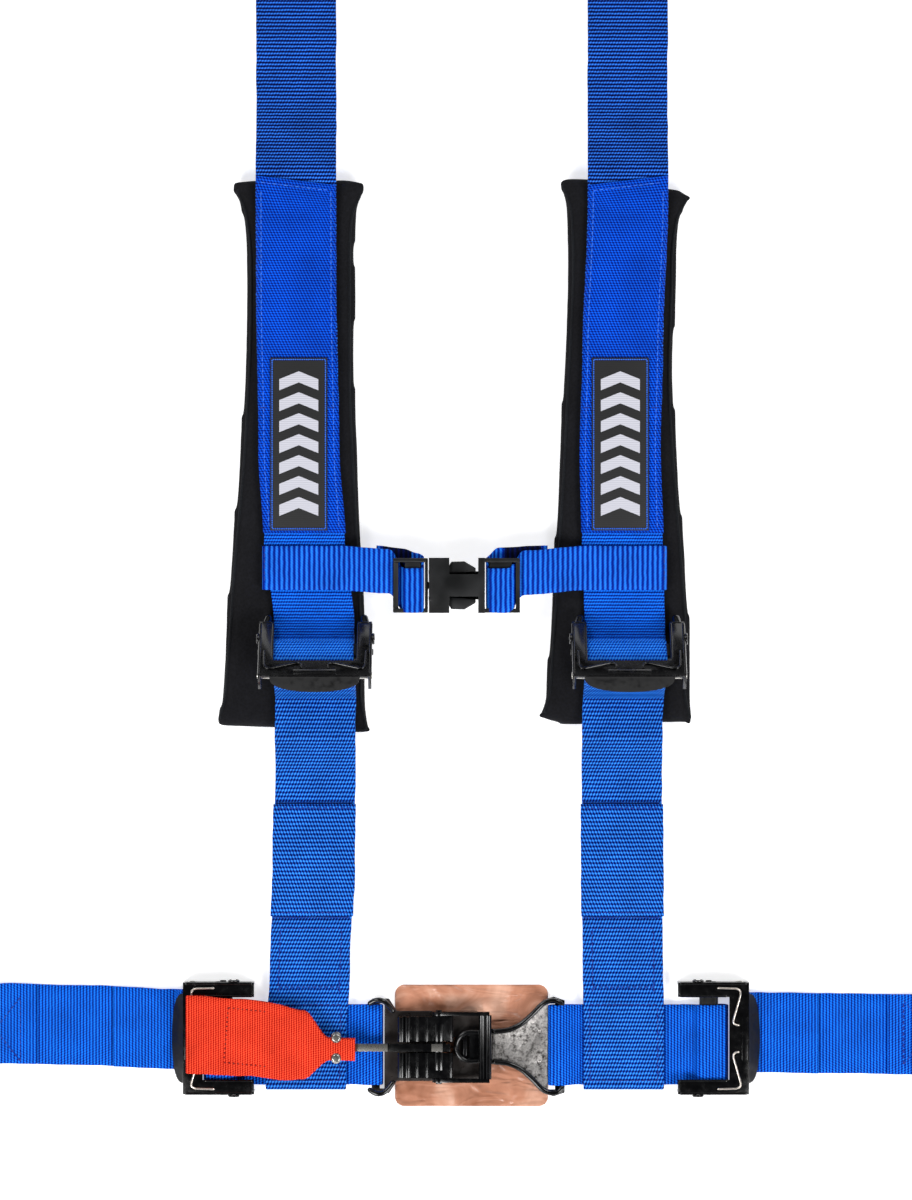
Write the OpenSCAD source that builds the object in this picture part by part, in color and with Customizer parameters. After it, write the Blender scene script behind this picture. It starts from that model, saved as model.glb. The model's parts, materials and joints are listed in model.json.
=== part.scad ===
// Four-point racing harness with a latch-and-link lap buckle, laid out flat.
// +X runs along the lap belt, +Y up the shoulder straps, +Z up from the surface it lies on.

/* [Overall] */
// From the middle to each lap anchor bar
lap_reach = 330; // [250:1:450]
// From the lap line to each shoulder anchor bar
shoulder_reach = 730; // [640:1:900]
// Half the distance between the shoulder straps
shoulder_half = 99.5; // [75:0.5:125]

/* [Webbing] */
// Width of the main webbing
web_w = 50.8; // [38:0.1:76.2]
// Thickness of all webbing
web_t = 1.5; // [1.2:0.1:1.8]
// Air between layers that lie on each other
lay_gap = 0.3; // [0.2:0.05:0.5]
// Width of the sternum webbing
sternum_w = 28; // [20:0.5:34]

/* [Shoulder pads] */
// Length of a pad
pad_l = 349; // [300:1:420]
// Thickness of a pad
pad_t = 15; // [10:0.5:20]
// Width of a pad at its narrowest
pad_waist = 71; // [66:1:90]
// Thickness of the pad's sewn cover
pad_skin = 1.2; // [0.8:0.1:2]

/* [Adjusters] */
// Length of an adjuster's side rails
rail_l = 45; // [42:0.5:60]
// Height of the side rails
rail_h = 13; // [12.5:0.1:16]
// Steel thickness of an adjuster
frame_t = 2; // [1.5:0.1:2.5]
// Free width between the webbing and each rail
rail_gap = 8; // [7:0.1:12]
// Width of the slide bar along the strap
slide_w = 12; // [9:0.5:13]
// Height of the slide bar
slide_h = 5.6; // [4.5:0.1:6]
// How far the slide bar travels in its slots
slide_travel = 2.5; // [1.5:0.1:3]
// How far the shoulder adjusters stand tilted
adjuster_tilt = 42; // [35:1:46]

/* [Buckle] */
// Radius of the lever pin
pin_r = 2; // [1.5:0.1:2.4]
// Radial clearance of what turns on the pin
pin_play = 0.06; // [0.02:0.01:0.1]
// Half the width of the latch base
latch_half = 22.2; // [21:0.1:25]
// Steel beside the link's webbing slot at each end
link_rim = 4.4; // [3.5:0.1:8]
// Thickness of the latch and link plates
plate_t = 2.6; // [2:0.1:3]

/* [Anchors] */
// Radius of the bolt hole in each anchor plate
bolt_r = 5.9; // [4:0.1:7]
// Thickness of an anchor plate
anchor_t = 3; // [2.5:0.1:4]
// Length of an anchor plate from its bar to its round end
anchor_l = 52; // [45:1:80]

/* [Hidden] */
$fn = 64;
cut = 1; // how far a cutting body runs past what it cuts
pitch = web_t + lay_gap; // from one webbing layer to the next
low_z = 0.2 + web_t / 2; // middle of a layer that lies on the surface

// Adjuster, in its own axes: u along the strap to the lip, v across, w up
rail_out = web_w / 2 + rail_gap + frame_t; // outer face of a rail
rail_in = rail_out - frame_t;
flange_w = 7.2; // inward flange on top of a rail
plate_u = rail_l - 12.5; // where the top plate starts
lip_l = 11.5;
lip_bend = 40;
lip_half = web_w / 2 + 3;
rod_r = 2.2; // fixed rod that the sewn strap loops round
rod_u = rail_l - 5.6;
rod_w = rail_h - frame_t - 0.4 - pitch - rod_r;
slide_u = 13.8 + slide_w / 2;
slide_mid = slide_h / 2 + 0.2 + lay_gap + 2 * web_t;
tenon_r = 2;
slot_play = 0.3;
tail_u = 2; // where the strap's cut end lies
roll_end = slide_u + slide_w / 2 + slide_travel + lay_gap + 0.2 + web_t / 2;

// Sideways places, left and right: each strap lies a little off the even spacing
strap_x = [-shoulder_half + 1.5, shoulder_half + 1.5];
pad_x = [-shoulder_half - 4, shoulder_half];
adjuster_mid_x = [-shoulder_half + 7.5, shoulder_half + 5];
lower_x = [-shoulder_half - 0.2, shoulder_half + 3.8];

// Places of the lap side
lap_y = -1; // middle of the lap adjusters
buckle_y = -6.5; // the buckle hangs a little lower
inner_y = -5.5; // middle of the straps between buckle and adjusters
anchor_y = [4, 2]; // middle of the left and right anchor straps
adjuster_x = 136.5; // where the right lap adjuster's rails start
left_adjuster_x = -131.5;
lap_loop_out = 131; // where the lower shoulder strap ends on the lap belt

// Places of the shoulder side
pad_low = 195; // lower end of a pad above the lap line
pad_top_z = pad_t;
under_z = pad_top_z + lay_gap + web_t / 2; // sternum layer below the shoulder strap
strap_z = under_z + pitch; // shoulder strap on the pad
over_z = strap_z + pitch; // what is sewn on top of it
panel_t = 0.8;
panel_y = [322, 542];
panel_w = web_w - 4;
patch_y = 374.5;
patch_w = 36;
patch_l = 109;
patch_t = 1;
sternum_y = 285.4; // the sternum buckle sags below where its straps hold on
sternum_wrap_y = 296.5;
adjuster_top = 254; // upper end of the shoulder adjusters
adjuster_z = pad_top_z + 0.3; // height of their low end
lower_end_z = low_z + 3 * pitch + 1.2; // lower shoulder strap over the lap belt

// Places in the buckle
pin_x = -14.6;
pin_z = 10;
base_z = 2.6; // underside of the latch base plate
bar_x = -54.3; // webbing bar of the latch
link_z = base_z + plate_t + 1.1; // underside of the link
link_bar_x = 61;
link_slot_half = web_w / 2 + 1.8;
link_half = link_slot_half + link_rim;
arm_reach = 29; // from the lever pin to the keeper bar
arm_t = 2.4;
wall_half = latch_half - arm_t - 0.3; // outer face of the latch body's walls
keeper_half = latch_half + 0.2;
slot_half_y = 3.6; // half the lever's slot in the latch cover
lever_w = 4.8;
lever_z = pin_z + 3;
lever_t = 4;
lever_end = -84;
tab_top = 19; // upper face of the pull tab
rivet_x = -79.5;
rivet_y = 6.4;
rivet_r = 1.6;
sheet_t = 0.6;

// Overall box, for the origin
anchor_r = 19;
anchor_bar = 3.6; // width of the bar that the strap loops round
anchor_turn = norm([anchor_bar, anchor_t]) / 2 + 0.15; // room the bar needs to turn in its loop
anchor_loop_r = anchor_turn + web_t / 2;
anchor_bar_z = low_z + anchor_loop_r;
anchor_z = anchor_bar_z - anchor_t / 2;
y_high = shoulder_reach + anchor_l + anchor_r;
y_low = buckle_y - 38.5;
y_mid = (y_high + y_low) / 2;

// --- path functions ---
function arc(c, r, from, to, n = 10) =
    [for (i = [0:n]) let (a = from + (to - from) * i / n) c + r * [cos(a), sin(a)]];
function unit(v) = v / norm(v);
function side(v) = [-v[1], v[0]];
// Normal of the corner at point i, stretched so that both sides keep their distance
function corner(p, i) =
    let (
        a = unit(p[max(i, 1)] - p[max(i, 1) - 1]),
        b = unit(p[min(i + 1, len(p) - 1)] - p[min(i + 1, len(p) - 1) - 1]),
        n = unit(side(a) + side(b))
    ) n / max(n * side(a), 0.3);
function band(p, t) = concat(
    [for (i = [0:len(p) - 1]) p[i] + corner(p, i) * t / 2],
    [for (i = [len(p) - 1:-1:0]) p[i] - corner(p, i) * t / 2]
);
// A path point of a tilted shoulder adjuster, from its own u and w to y and z
function tilted(p) = [
    adjuster_top - p[0] * cos(adjuster_tilt) + p[1] * sin(adjuster_tilt),
    adjuster_z + p[0] * sin(adjuster_tilt) + p[1] * cos(adjuster_tilt)
];
// The strap's way over the slide bar and back below it, in u and w
function over_slide() =
    let (
        top = slide_mid + slide_h / 2 + lay_gap + web_t / 2,
        low = slide_mid - slide_h / 2 - lay_gap - web_t / 2,
        r = (top - low) / 2
    )
    concat(
        [[8, low + pitch + 0.5], [slide_u - slide_w / 2 - 2.3, low + pitch + 1.6]],
        [[slide_u - slide_w / 2 - 0.6, top - 0.8], [slide_u - slide_w / 2 + 2.5, top]],
        arc([roll_end - r, (top + low) / 2], r, 90, -90, 14),
        [[slide_u - slide_w / 2 - 4, low - 0.1], [tail_u, low - 0.2]]
    );
// The sewn loop round the fixed rod, from its upper layer to its lower one, in u and w
function round_rod(from, to) = arc([rod_u, rod_w], rod_r + lay_gap + web_t / 2, from, to, 14);
// The sewn loop round a bar, seen from the side, from its upper layer to its lower one
function round_bar(x, z, r) = arc([x, z], r, 90, -90, 12);
function flipped(p) = [for (q = p) [-q[0], q[1]]];
function moved(p, by) = [for (q = p) q + by];
function backwards(p) = [for (i = [len(p) - 1:-1:0]) p[i]];

// The left or right one of a pair of values
function at(pair, s) = pair[s > 0 ? 1 : 0];

// --- shared shapes ---
module laid() { translate([0, -y_mid, 0]) children(); }
// A strap along X: path in x and z
module strap_x(p, y, w = web_w, t = web_t) {
    translate([0, y, 0]) rotate([90, 0, 0]) linear_extrude(w, center = true) polygon(band(p, t));
}
// A strap along Y: path in y and z
module strap_y(p, x, w = web_w, t = web_t) {
    translate([x, 0, 0]) rotate([90, 0, 90]) linear_extrude(w, center = true) polygon(band(p, t));
}
module rod_y(x, z, r, half) {
    translate([x, 0, z]) rotate([90, 0, 0]) cylinder(h = 2 * half, r = r, center = true);
}
module block(x, y, z) {
    translate([x[0], y[0], z[0]]) cube([x[1] - x[0], y[1] - y[0], z[1] - z[0]]);
}
// Wire along points, as a many-sided tube
module wire(p, r, n = 8) {
    last = len(p) - 1;
    function way(i) = unit(p[min(i + 1, last)] - p[max(i - 1, 0)]);
    rings = [for (i = [0:last])
        let (d = way(i), a = unit(cross(d, [0.31, 0.17, 0.93])), b = cross(d, a))
        for (k = [0:n - 1]) p[i] + r * (a * cos(360 * k / n) + b * sin(360 * k / n))];
    faces = concat(
        [[for (k = [n - 1:-1:0]) k]],
        [for (i = [0:last - 1], k = [0:n - 1])
            [i * n + k, i * n + (k + 1) % n, (i + 1) * n + (k + 1) % n, (i + 1) * n + k]],
        [[for (k = [0:n - 1]) last * n + k]]
    );
    polyhedron(rings, faces);
}

// --- adjuster pieces, in u, v and w ---
module adjuster_frame() {
    color([0.08, 0.08, 0.09]) difference() {
        union() {
            for (s = [-1, 1]) mirror([0, s < 0 ? 1 : 0, 0]) {
                block([0, rail_l], [rail_in, rail_out], [0, rail_h]);
                block([0, rail_l], [rail_in - flange_w, rail_out], [rail_h - frame_t, rail_h]);
            }
            block([plate_u, rail_l], [-rail_out, rail_out], [rail_h - frame_t, rail_h]);
            lip();
            block([rail_l - 4.5, rail_l - 1], [-13.3, 13.3], [rail_h - 0.2, rail_h + 0.7]);
        }
        for (s = [-1, 1])
            translate([slide_u, s * (rail_in + rail_out) / 2, slide_mid]) rotate([90, 0, 0])
                slide_slot();
        rod_y(rod_u, rod_w, rod_r, rail_out + cut);
    }
}
module slide_slot() {
    linear_extrude(frame_t + 2 * cut, center = true) union() {
        circle(tenon_r + slot_play);
        translate([slide_travel, 0]) circle(tenon_r + slot_play);
        translate([0, -tenon_r - slot_play]) square([slide_travel, 2 * (tenon_r + slot_play)]);
    }
}
module lip() {
    translate([rail_l - frame_t * 0.7, 0, rail_h]) rotate([0, lip_bend, 0])
        translate([0, 0, -frame_t]) linear_extrude(frame_t) polygon(
            [for (i = [0:24]) let (a = 90 - 7.5 * i) [lip_l * pow(cos(a), 0.6), lip_half * sin(a)]]
        );
}
module adjuster_slide() {
    color([0.16, 0.16, 0.17]) {
        translate([slide_u, 0, slide_mid]) rotate([90, 0, 0])
            linear_extrude(2 * (rail_in - 0.4), center = true) union() {
                translate([-slide_w / 2 + slide_h / 2, 0]) circle(slide_h / 2);
                translate([slide_w / 2 - slide_h / 2, 0]) circle(slide_h / 2);
                translate([-slide_w / 2 + slide_h / 2, -slide_h / 2])
                    square([slide_w - slide_h, slide_h]);
            }
        rod_y(slide_u, slide_mid, tenon_r, rail_out + 1);
    }
}
module adjuster_rod() { color([0.3, 0.3, 0.32]) rod_y(rod_u, rod_w, rod_r, rail_out + 0.6); }
module adjuster_springs() {
    wire_r = 0.6;
    top = rail_h + wire_r + 0.05;
    color([0.85, 0.83, 0.78]) for (s = [-1, 1]) wire([
        [slide_u + 5, s * (rail_in - 1.5), top], [rail_l - 8, s * (rail_in - 1.8), top],
        [rail_l - 5.6, s * (rail_in - 3), top], [rail_l - 5.4, s * (rail_in - 5.5), top],
        [plate_u + 2.6, s * 12, top], [plate_u + 2.4, s * 10, top],
        [plate_u + 4, s * 8.6, top], [plate_u + 6.5, s * 8.4, top]
    ], wire_r);
}
module at_lap(s) {
    laid() translate([s > 0 ? adjuster_x : left_adjuster_x, lap_y, 0])
        mirror([s > 0 ? 0 : 1, 0, 0]) children();
}
module at_shoulder(s) {
    laid() translate([at(adjuster_mid_x, s), adjuster_top, adjuster_z]) rotate([0, 0, -90])
        rotate([0, -adjuster_tilt, 0]) children();
}

// --- shoulder straps ---
module shoulder_strap(s) {
    color([0.03, 0.25, 0.85]) laid() strap_y(concat(
        [[shoulder_reach - 70, low_z], [shoulder_reach - 3, low_z]],
        backwards(round_bar(shoulder_reach, anchor_bar_z, anchor_loop_r)),
        [[shoulder_reach - 12, low_z + pitch + 1.4], [shoulder_reach - 30, low_z + pitch]],
        [[shoulder_reach - 90, low_z + pitch], [pad_low + pad_l + 45, low_z + pitch]],
        [[pad_low + pad_l + 5, strap_z], [adjuster_top + 8, strap_z]],
        [for (q = over_slide()) tilted(q)]
    ), at(strap_x, s));
}
// Half the width of a pad at a share of its length, counted from its lower end
function pad_half(k) =
    pad_waist / 2 + 5.75 * (1 + cos(180 * min(1, k / 0.75))) + 5 * pow(max(0, (k - 0.86) / 0.14), 1.6);
module pad_form(s, inset) {
    n = 14;
    color([0.07, 0.07, 0.08]) laid() translate([at(pad_x, s), pad_low, inset])
        linear_extrude(pad_t - 2 * inset) polygon(concat(
            [for (i = [0:n]) [pad_half(i / n) - inset, inset + (pad_l - 2 * inset) * i / n]],
            [for (i = [n:-1:0]) [inset - pad_half(i / n), inset + (pad_l - 2 * inset) * i / n]]
        ));
}
module pad_cover(s) { difference() { pad_form(s, 0); pad_form(s, pad_skin); } }
module pad_core(s) { pad_form(s, pad_skin + 0.1); }
module cover_panel(s) {
    color([0.04, 0.28, 0.9]) laid() translate([at(strap_x, s), 0, over_z - web_t / 2])
        block([-panel_w / 2, panel_w / 2], panel_y, [0, panel_t]);
}
module label_patch(s) {
    color([0.06, 0.06, 0.07]) laid()
        translate([at(strap_x, s), patch_y, over_z - web_t / 2 + panel_t + 0.05])
            block([-patch_w / 2, patch_w / 2], [-patch_l / 2, patch_l / 2], [0, patch_t]);
}

// --- sternum strap and its buckle ---
buckle_mid = over_z + 2; // middle of the side-release buckle's thickness
bar_h = 1.1; // half the thickness of a webbing bar
turn_r = bar_h + lay_gap + web_t / 2; // strap middle round a bar's edge
plug_bar = [-35.2, -26.9]; // turning centres of the strap on the plug's bar
socket_bar = [18, 30.5]; // and on the socket's
knee = 50; // where the strap starts to slant up to the shoulder strap
module at_sternum() { laid() translate([0, sternum_y, 0]) children(); }
// From the knee under the buckle's outer bar, over its webbing bar and back below it
function over_bar(near, far) = concat(
    [[knee + 4, buckle_mid - 4.6], [far - 2, buckle_mid - 4.5]],
    arc([near, buckle_mid], turn_r, 228, 90, 8), arc([far, buckle_mid], turn_r, 90, -50, 8),
    [[far + 4, buckle_mid - 2.55], [knee + 4, buckle_mid - 1.6]]
);
// Round the shoulder strap and back below it, from the knee
function round_shoulder(middle) =
    let (reach = web_w / 2 + 5.5, r = (over_z + 0.5 - under_z) / 2)
    concat(
        [[knee, buckle_mid - 1.6], [middle - reach - 2, over_z + 0.7]],
        arc([middle + reach, (over_z + 0.5 + under_z) / 2], r, 90, -90, 10),
        [[middle - reach, under_z], [knee + 10, under_z + 0.4]]
    );
module sternum_strap(s) {
    middle = abs(at(strap_x, s));
    slant = atan((sternum_wrap_y - sternum_y) / (middle - knee));
    color([0.03, 0.25, 0.85]) laid() translate([0, sternum_y, 0]) mirror([s > 0 ? 0 : 1, 0, 0]) {
        strap_x(s > 0 ? over_bar(socket_bar[0], socket_bar[1])
            : over_bar(-plug_bar[1], -plug_bar[0]), 0, sternum_w);
        translate([knee, 0, 0]) rotate([0, 0, slant]) translate([-knee, 0, 0])
            strap_x(round_shoulder(middle / cos(slant)), 0, sternum_w);
    }
}
// Side cheeks, outer bar and webbing bar of one end; the strap's bar runs from a to b
module webbing_end(outer, inner, a, b, half) {
    m = buckle_mid;
    for (s = [-1, 1]) mirror([0, s < 0 ? 1 : 0, 0])
        block([min(outer, inner), max(outer, inner)], [14.6, half], [m - 2.8, m + 2.8]);
    edge = outer < inner ? [outer, outer + 3.4] : [outer - 2.6, outer];
    block(edge, [-15, 15], [m - bar_h, m + bar_h]);
    block([a - 0.8, b + 0.8], [-15, 15], [m - bar_h, m + bar_h]);
}
module sternum_plug() {
    m = buckle_mid;
    color([0.05, 0.05, 0.06]) at_sternum() {
        webbing_end(-43.5, -21.5, plug_bar[0], plug_bar[1], 17.2);
        block([-23.4, -21.5], [-16, 16], [m - 2.8, m + 2.8]);
        block([-22, 8], [-2, 2], [m - 2.2, m + 2.2]);
    }
}
module sternum_socket() {
    m = buckle_mid;
    color([0.05, 0.05, 0.06]) at_sternum() {
        webbing_end(36.5, 13, socket_bar[0], socket_bar[1], 17.2);
        difference() {
            block([-20.9, 14.4], [-17.4, 17.4], [m - 5.2, m + 5.2]);
            block([-20.9 - cut, 12.4], [-15.4, 15.4], [m - 3.2, m + 3.2]);
            for (s = [-1, 1]) mirror([0, s < 0 ? 1 : 0, 0])
                block([-8, 10.2], [7, 17.4 + cut], [m - 6, m + 6]);
        }
    }
}
module sternum_prong(s) {
    color([0.07, 0.07, 0.08]) at_sternum() mirror([0, s < 0 ? 1 : 0, 0])
        translate([0, 0, buckle_mid - 2.4]) linear_extrude(4.8) polygon([
            [-21.1, 6.5], [-21.1, 10], [-9, 11], [-6.8, 15], [1.5, 15.2], [8.6, 11], [8.6, 8.5],
            [0, 8], [-10, 7.2]
        ]);
}

// --- lower shoulder straps ---
module lower_strap(s) {
    leave = 106; // how steeply the loop's two layers drop from the rod
    on_pad = pad_top_z + lay_gap + 0.2 + web_t / 2;
    drop = tilted([rod_u, rod_w])[0] - 13; // where they reach the pad
    half = web_w / 2 + 3;
    color([0.03, 0.25, 0.85]) laid() strap_y(concat(
        [[120, low_z + pitch + 0.6], [pad_low - 24, low_z + pitch + 0.6], [pad_low - 5, on_pad]],
        [[drop + 2.6, on_pad]],
        [for (q = backwards(round_rod(90 - leave, 270 - leave))) tilted(q)],
        [[drop - 1, on_pad + pitch + 0.2], [pad_low - 6, on_pad + pitch]],
        [[pad_low - 26, low_z + 2 * pitch + 1.6], [120, low_z + 2 * pitch + 1]],
        [[inner_y + half + 22, lower_end_z - 2.5], [inner_y + half, lower_end_z]],
        arc([inner_y - half, (lower_end_z + low_z) / 2], (lower_end_z - low_z) / 2, 90, 270, 10),
        [[inner_y + half + 5, low_z], [100, low_z]]
    ), at(lower_x, s));
}
module keeper_sleeve(s) {
    top = low_z + 3 * pitch + 2;
    color([0.03, 0.25, 0.85]) laid() strap_y(
        [[76, top], [84, top + 0.6], [112, top + 2.2], [140, top + 0.6], [147, top]],
        at(lower_x, s)
    );
}

// --- lap straps ---
// From the buckle's bar over the slide bar, drawn for the right side
function inner_path(bar, bar_z, r, adjuster) = concat(
    [[bar + 46, low_z + pitch], [bar + 9, low_z + pitch]],
    backwards(flipped(round_bar(-bar, bar_z, r))),
    [[bar + 4, bar_z + r], [bar + 16, low_z + 2 * pitch]],
    [[lap_loop_out, low_z + 2 * pitch]],
    moved(over_slide(), [adjuster, 0])
);
module lap_inner_strap(s) {
    path = s > 0 ? inner_path(link_bar_x - 1.8, link_z + plate_t / 2, plate_t / 2 + 2.05, adjuster_x)
        : inner_path(-bar_x - 0.6, base_z + plate_t / 2, base_z + plate_t / 2 - low_z, -left_adjuster_x);
    color([0.03, 0.25, 0.85]) laid() strap_x(s > 0 ? path : flipped(path), inner_y);
}
module lap_anchor_strap(s) {
    start = s > 0 ? adjuster_x : -left_adjuster_x;
    path = concat(
        [[start + rod_u + 50, low_z + pitch], [start + rod_u + 10, low_z + pitch]],
        [[start + rod_u + 6, rod_w + rod_r - 1.2]],
        moved(round_rod(60, 270), [start, 0]),
        [[start + rod_u + 6, low_z], [lap_reach - 3, low_z]],
        backwards(round_bar(lap_reach, anchor_bar_z, anchor_loop_r)),
        [[lap_reach - 12, low_z + pitch + 1.4], [lap_reach - 30, low_z + pitch]],
        [[lap_reach - 60, low_z + pitch]]
    );
    color([0.03, 0.25, 0.85]) laid() strap_x(s > 0 ? path : flipped(path), at(anchor_y, s));
}

// --- anchor plates, drawn with the bar on the Y axis and the bolt hole towards +X ---
module anchor_plate() {
    slot_half = web_w / 2 + 1.6;
    color([0.1, 0.1, 0.11]) linear_extrude(anchor_t) difference() {
        union() {
            polygon([
                [-anchor_bar / 2, -slot_half - 5], [11, -slot_half - 5], [anchor_l, -anchor_r],
                [anchor_l, anchor_r], [11, slot_half + 5], [-anchor_bar / 2, slot_half + 5]
            ]);
            translate([anchor_l, 0]) circle(anchor_r);
        }
        translate([anchor_bar / 2, -slot_half]) square([6.4, 2 * slot_half]);
        translate([anchor_l, 0]) circle(bolt_r);
    }
}
module lap_anchor(s) {
    laid() translate([s * lap_reach, at(anchor_y, s), anchor_z])
        rotate([0, 0, s > 0 ? 0 : 180]) anchor_plate();
}
module shoulder_anchor(s) {
    laid() translate([at(strap_x, s), shoulder_reach, anchor_z])
        rotate([0, 0, 90]) anchor_plate();
}

// --- latch ---
module at_buckle() { laid() translate([0, buckle_y, 0]) children(); }
module latch_plate() {
    slot_half = web_w / 2 + 1.6;
    color([0.12, 0.11, 0.11]) at_buckle() translate([0, 0, base_z]) linear_extrude(plate_t)
        difference() {
            polygon([
                [bar_x - 3, -slot_half - 3], [bar_x + 8, -slot_half - 3], [bar_x + 13, -latch_half],
                [9.5, -latch_half], [12, -latch_half + 4], [12, latch_half - 4], [9.5, latch_half],
                [bar_x + 13, latch_half], [bar_x + 8, slot_half + 3], [bar_x - 3, slot_half + 3]
            ]);
            translate([bar_x + 2.2, -slot_half]) square([2.9, 2 * slot_half]);
            translate([-13.5, -5.5]) square([10.5, 11]);
        }
}
module latch_body() {
    wall = 2;
    low = base_z + plate_t + 0.02;
    skin = pin_z + pin_r + 0.2; // underside of the cover
    color([0.07, 0.07, 0.08]) at_buckle() for (s = [-1, 1]) mirror([0, s < 0 ? 1 : 0, 0]) {
        difference() {
            block([-40.6, -5.6], [wall_half - wall, wall_half], [low, skin + 1.6]);
            rod_y(pin_x, pin_z, pin_r + 0.01, wall_half + cut);
        }
        difference() {
            block([-40.6, -5.6], [slot_half_y, wall_half], [skin, skin + 1.6]);
            block([pin_x - 3, pin_x + 3], [slot_half_y - cut, 14.5], [skin - cut, skin + 2]);
        }
        for (rib = [[-38.5, 2.1], [-34.3, 2.1], [-28.4, 1.25], [-22.2, 1.1], [-7, 1.1]])
            translate([rib[0], wall_half - 0.4, skin + 1.2]) rotate([90, 0, 0])
                cylinder(h = wall_half - 0.4 - slot_half_y, r = rib[1]);
        difference() {
            translate([pin_x, 14.5, pin_z]) rotate([90, 0, 0])
                cylinder(h = 14.5 - slot_half_y, r = 4.4);
            rod_y(pin_x, pin_z, pin_r + 0.01, wall_half);
        }
    }
}
module latch_hook() {
    color([0.2, 0.2, 0.21]) at_buckle() translate([0, 6, 0]) rotate([90, 0, 0])
        linear_extrude(12) polygon([
            [0, base_z + plate_t], [3, base_z + plate_t], [3, link_z + plate_t - 0.2],
            [0.8, link_z + plate_t - 0.2]
        ]);
}
module latch_ears() {
    color([0.1, 0.1, 0.11]) at_buckle() for (s = [-1, 1]) wire([
        for (i = [0:12]) let (k = i / 12) [
            bar_x - 5.2 + 16.5 * k, s * (26.5 + 5.2 * sin(150 * k) - 7.6 * k * k),
            base_z + plate_t + 3.9 + 2 * sin(180 * k)
        ]
    ], 1.6, 10);
}
module lever_pin() { color([0.6, 0.6, 0.62]) at_buckle() rod_y(pin_x, pin_z, pin_r, keeper_half + 1); }
module lever() {
    color([0.55, 0.55, 0.57]) at_buckle() difference() {
        union() {
            rod_y(pin_x, pin_z, 4.5, slot_half_y - 0.6);
            block([-46, -7.4], [-lever_w / 2, lever_w / 2], [lever_z, lever_z + lever_t]);
            block([pin_x - 4, pin_x + 4], [-lever_w / 2, lever_w / 2], [pin_z + 1, lever_z + 0.5]);
            block([lever_end, -46], [-lever_w / 2, lever_w / 2], [lever_z + 0.8, lever_z + 3.4]);
        }
        rod_y(pin_x, pin_z, pin_r + pin_play, 6);
    }
}
module keeper() {
    color([0.08, 0.08, 0.09]) at_buckle() {
        for (s = [-1, 1]) mirror([0, s < 0 ? 1 : 0, 0])
            translate([0, keeper_half, 0]) rotate([90, 0, 0]) linear_extrude(arm_t) difference() {
                union() {
                    translate([pin_x, pin_z]) circle(4.4);
                    polygon([
                        [pin_x, pin_z - 2.6], [pin_x + arm_reach - 2, pin_z + 0.4],
                        [pin_x + arm_reach + 3, pin_z + 0.4], [pin_x + arm_reach + 3, pin_z + 4.8],
                        [pin_x + arm_reach - 4, pin_z + 4.8], [pin_x, pin_z + 3.6]
                    ]);
                }
                translate([pin_x, pin_z]) circle(pin_r + pin_play);
            }
        for (x = [-1.8, 2.2])
            rod_y(pin_x + arm_reach + x, pin_z + 2.7, 2.1, keeper_half - arm_t + 0.2);
    }
}

// --- link ---
function link_side(inset, s) = [
    [19, s * (11.2 - inset)], [29.3, s * (12.1 - inset)], [37.2, s * (15.6 - inset)],
    [44.2, s * (21.8 - inset)], [link_bar_x - 9.5, s * (link_half - 2 - inset)],
    [link_bar_x - 3, s * (link_half - inset)], [link_bar_x + 4 - inset, s * (link_half - 2.4 - inset)]
];
function link_outline(inset) = concat(
    arc([5.5, 0], 10.9 - inset, 110, 250, 12), link_side(inset, -1), backwards(link_side(inset, 1))
);
module link() {
    color([0.45, 0.45, 0.46]) at_buckle() difference() {
        union() {
            translate([0, 0, link_z]) linear_extrude(plate_t) polygon(link_outline(0));
            translate([0, 0, link_z + plate_t - 0.1]) linear_extrude(1.1) difference() {
                polygon(link_outline(0));
                polygon(link_outline(3));
                translate([link_bar_x - 9, -link_half]) square([20, 2 * link_half]);
                translate([5, -link_half]) square([16, 2 * link_half]);
            }
        }
        translate([-1.6, -7, link_z - cut]) cube([6.4, 14, plate_t + 2 * cut + 1.2]);
        translate([link_bar_x - 6.9, -link_slot_half, link_z - cut])
            cube([4.8, 2 * link_slot_half, plate_t + 2 * cut + 1.2]);
        for (s = [-1, 1]) translate([49, s * 9.8, link_z + plate_t + 0.4]) sphere(1.6);
    }
}

// --- pull tab, its rivets and the sheet under the buckle ---
function tab_outline() = concat(
    [[-68, 9.2 - 1.2], [-81, 8.5]], arc([-101, 8.5], 17.5, 25, 90, 8),
    [[-140, 26.6], [-174.6, 25.6], [-174, -25.4], [-140, -26]],
    arc([-105, -8.5], 17.5, -90, -25, 8), [[-81, -8.5], [-68, -9.2 + 1.2]]
);
module pull_tab() {
    color([0.9, 0.2, 0.12]) at_buckle() difference() {
        union() {
            translate([0, 0, tab_top - web_t]) linear_extrude(web_t) polygon(tab_outline());
            translate([0, 0, lever_z - web_t - 0.02]) linear_extrude(web_t) polygon([
                [-68, 8], [-81, 8.5], [-92, 12], [-92, -12], [-81, -8.5], [-68, -8]
            ]);
        }
        for (s = [-1, 1]) translate([rivet_x, s * rivet_y, 0])
            cylinder(h = 2 * tab_top, r = rivet_r + 0.02);
    }
}
module tab_rivets() {
    low = lever_z - web_t - 0.06;
    color([0.8, 0.8, 0.8]) at_buckle() for (s = [-1, 1]) translate([rivet_x, s * rivet_y, 0]) {
        translate([0, 0, low]) cylinder(h = tab_top + 0.5 - low, r = rivet_r);
        translate([0, 0, tab_top + 0.02]) cylinder(h = 1.2, r1 = 3.4, r2 = 2.2);
        translate([0, 0, low - 0.7]) cylinder(h = 0.7, r = 3.2);
    }
}
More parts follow.
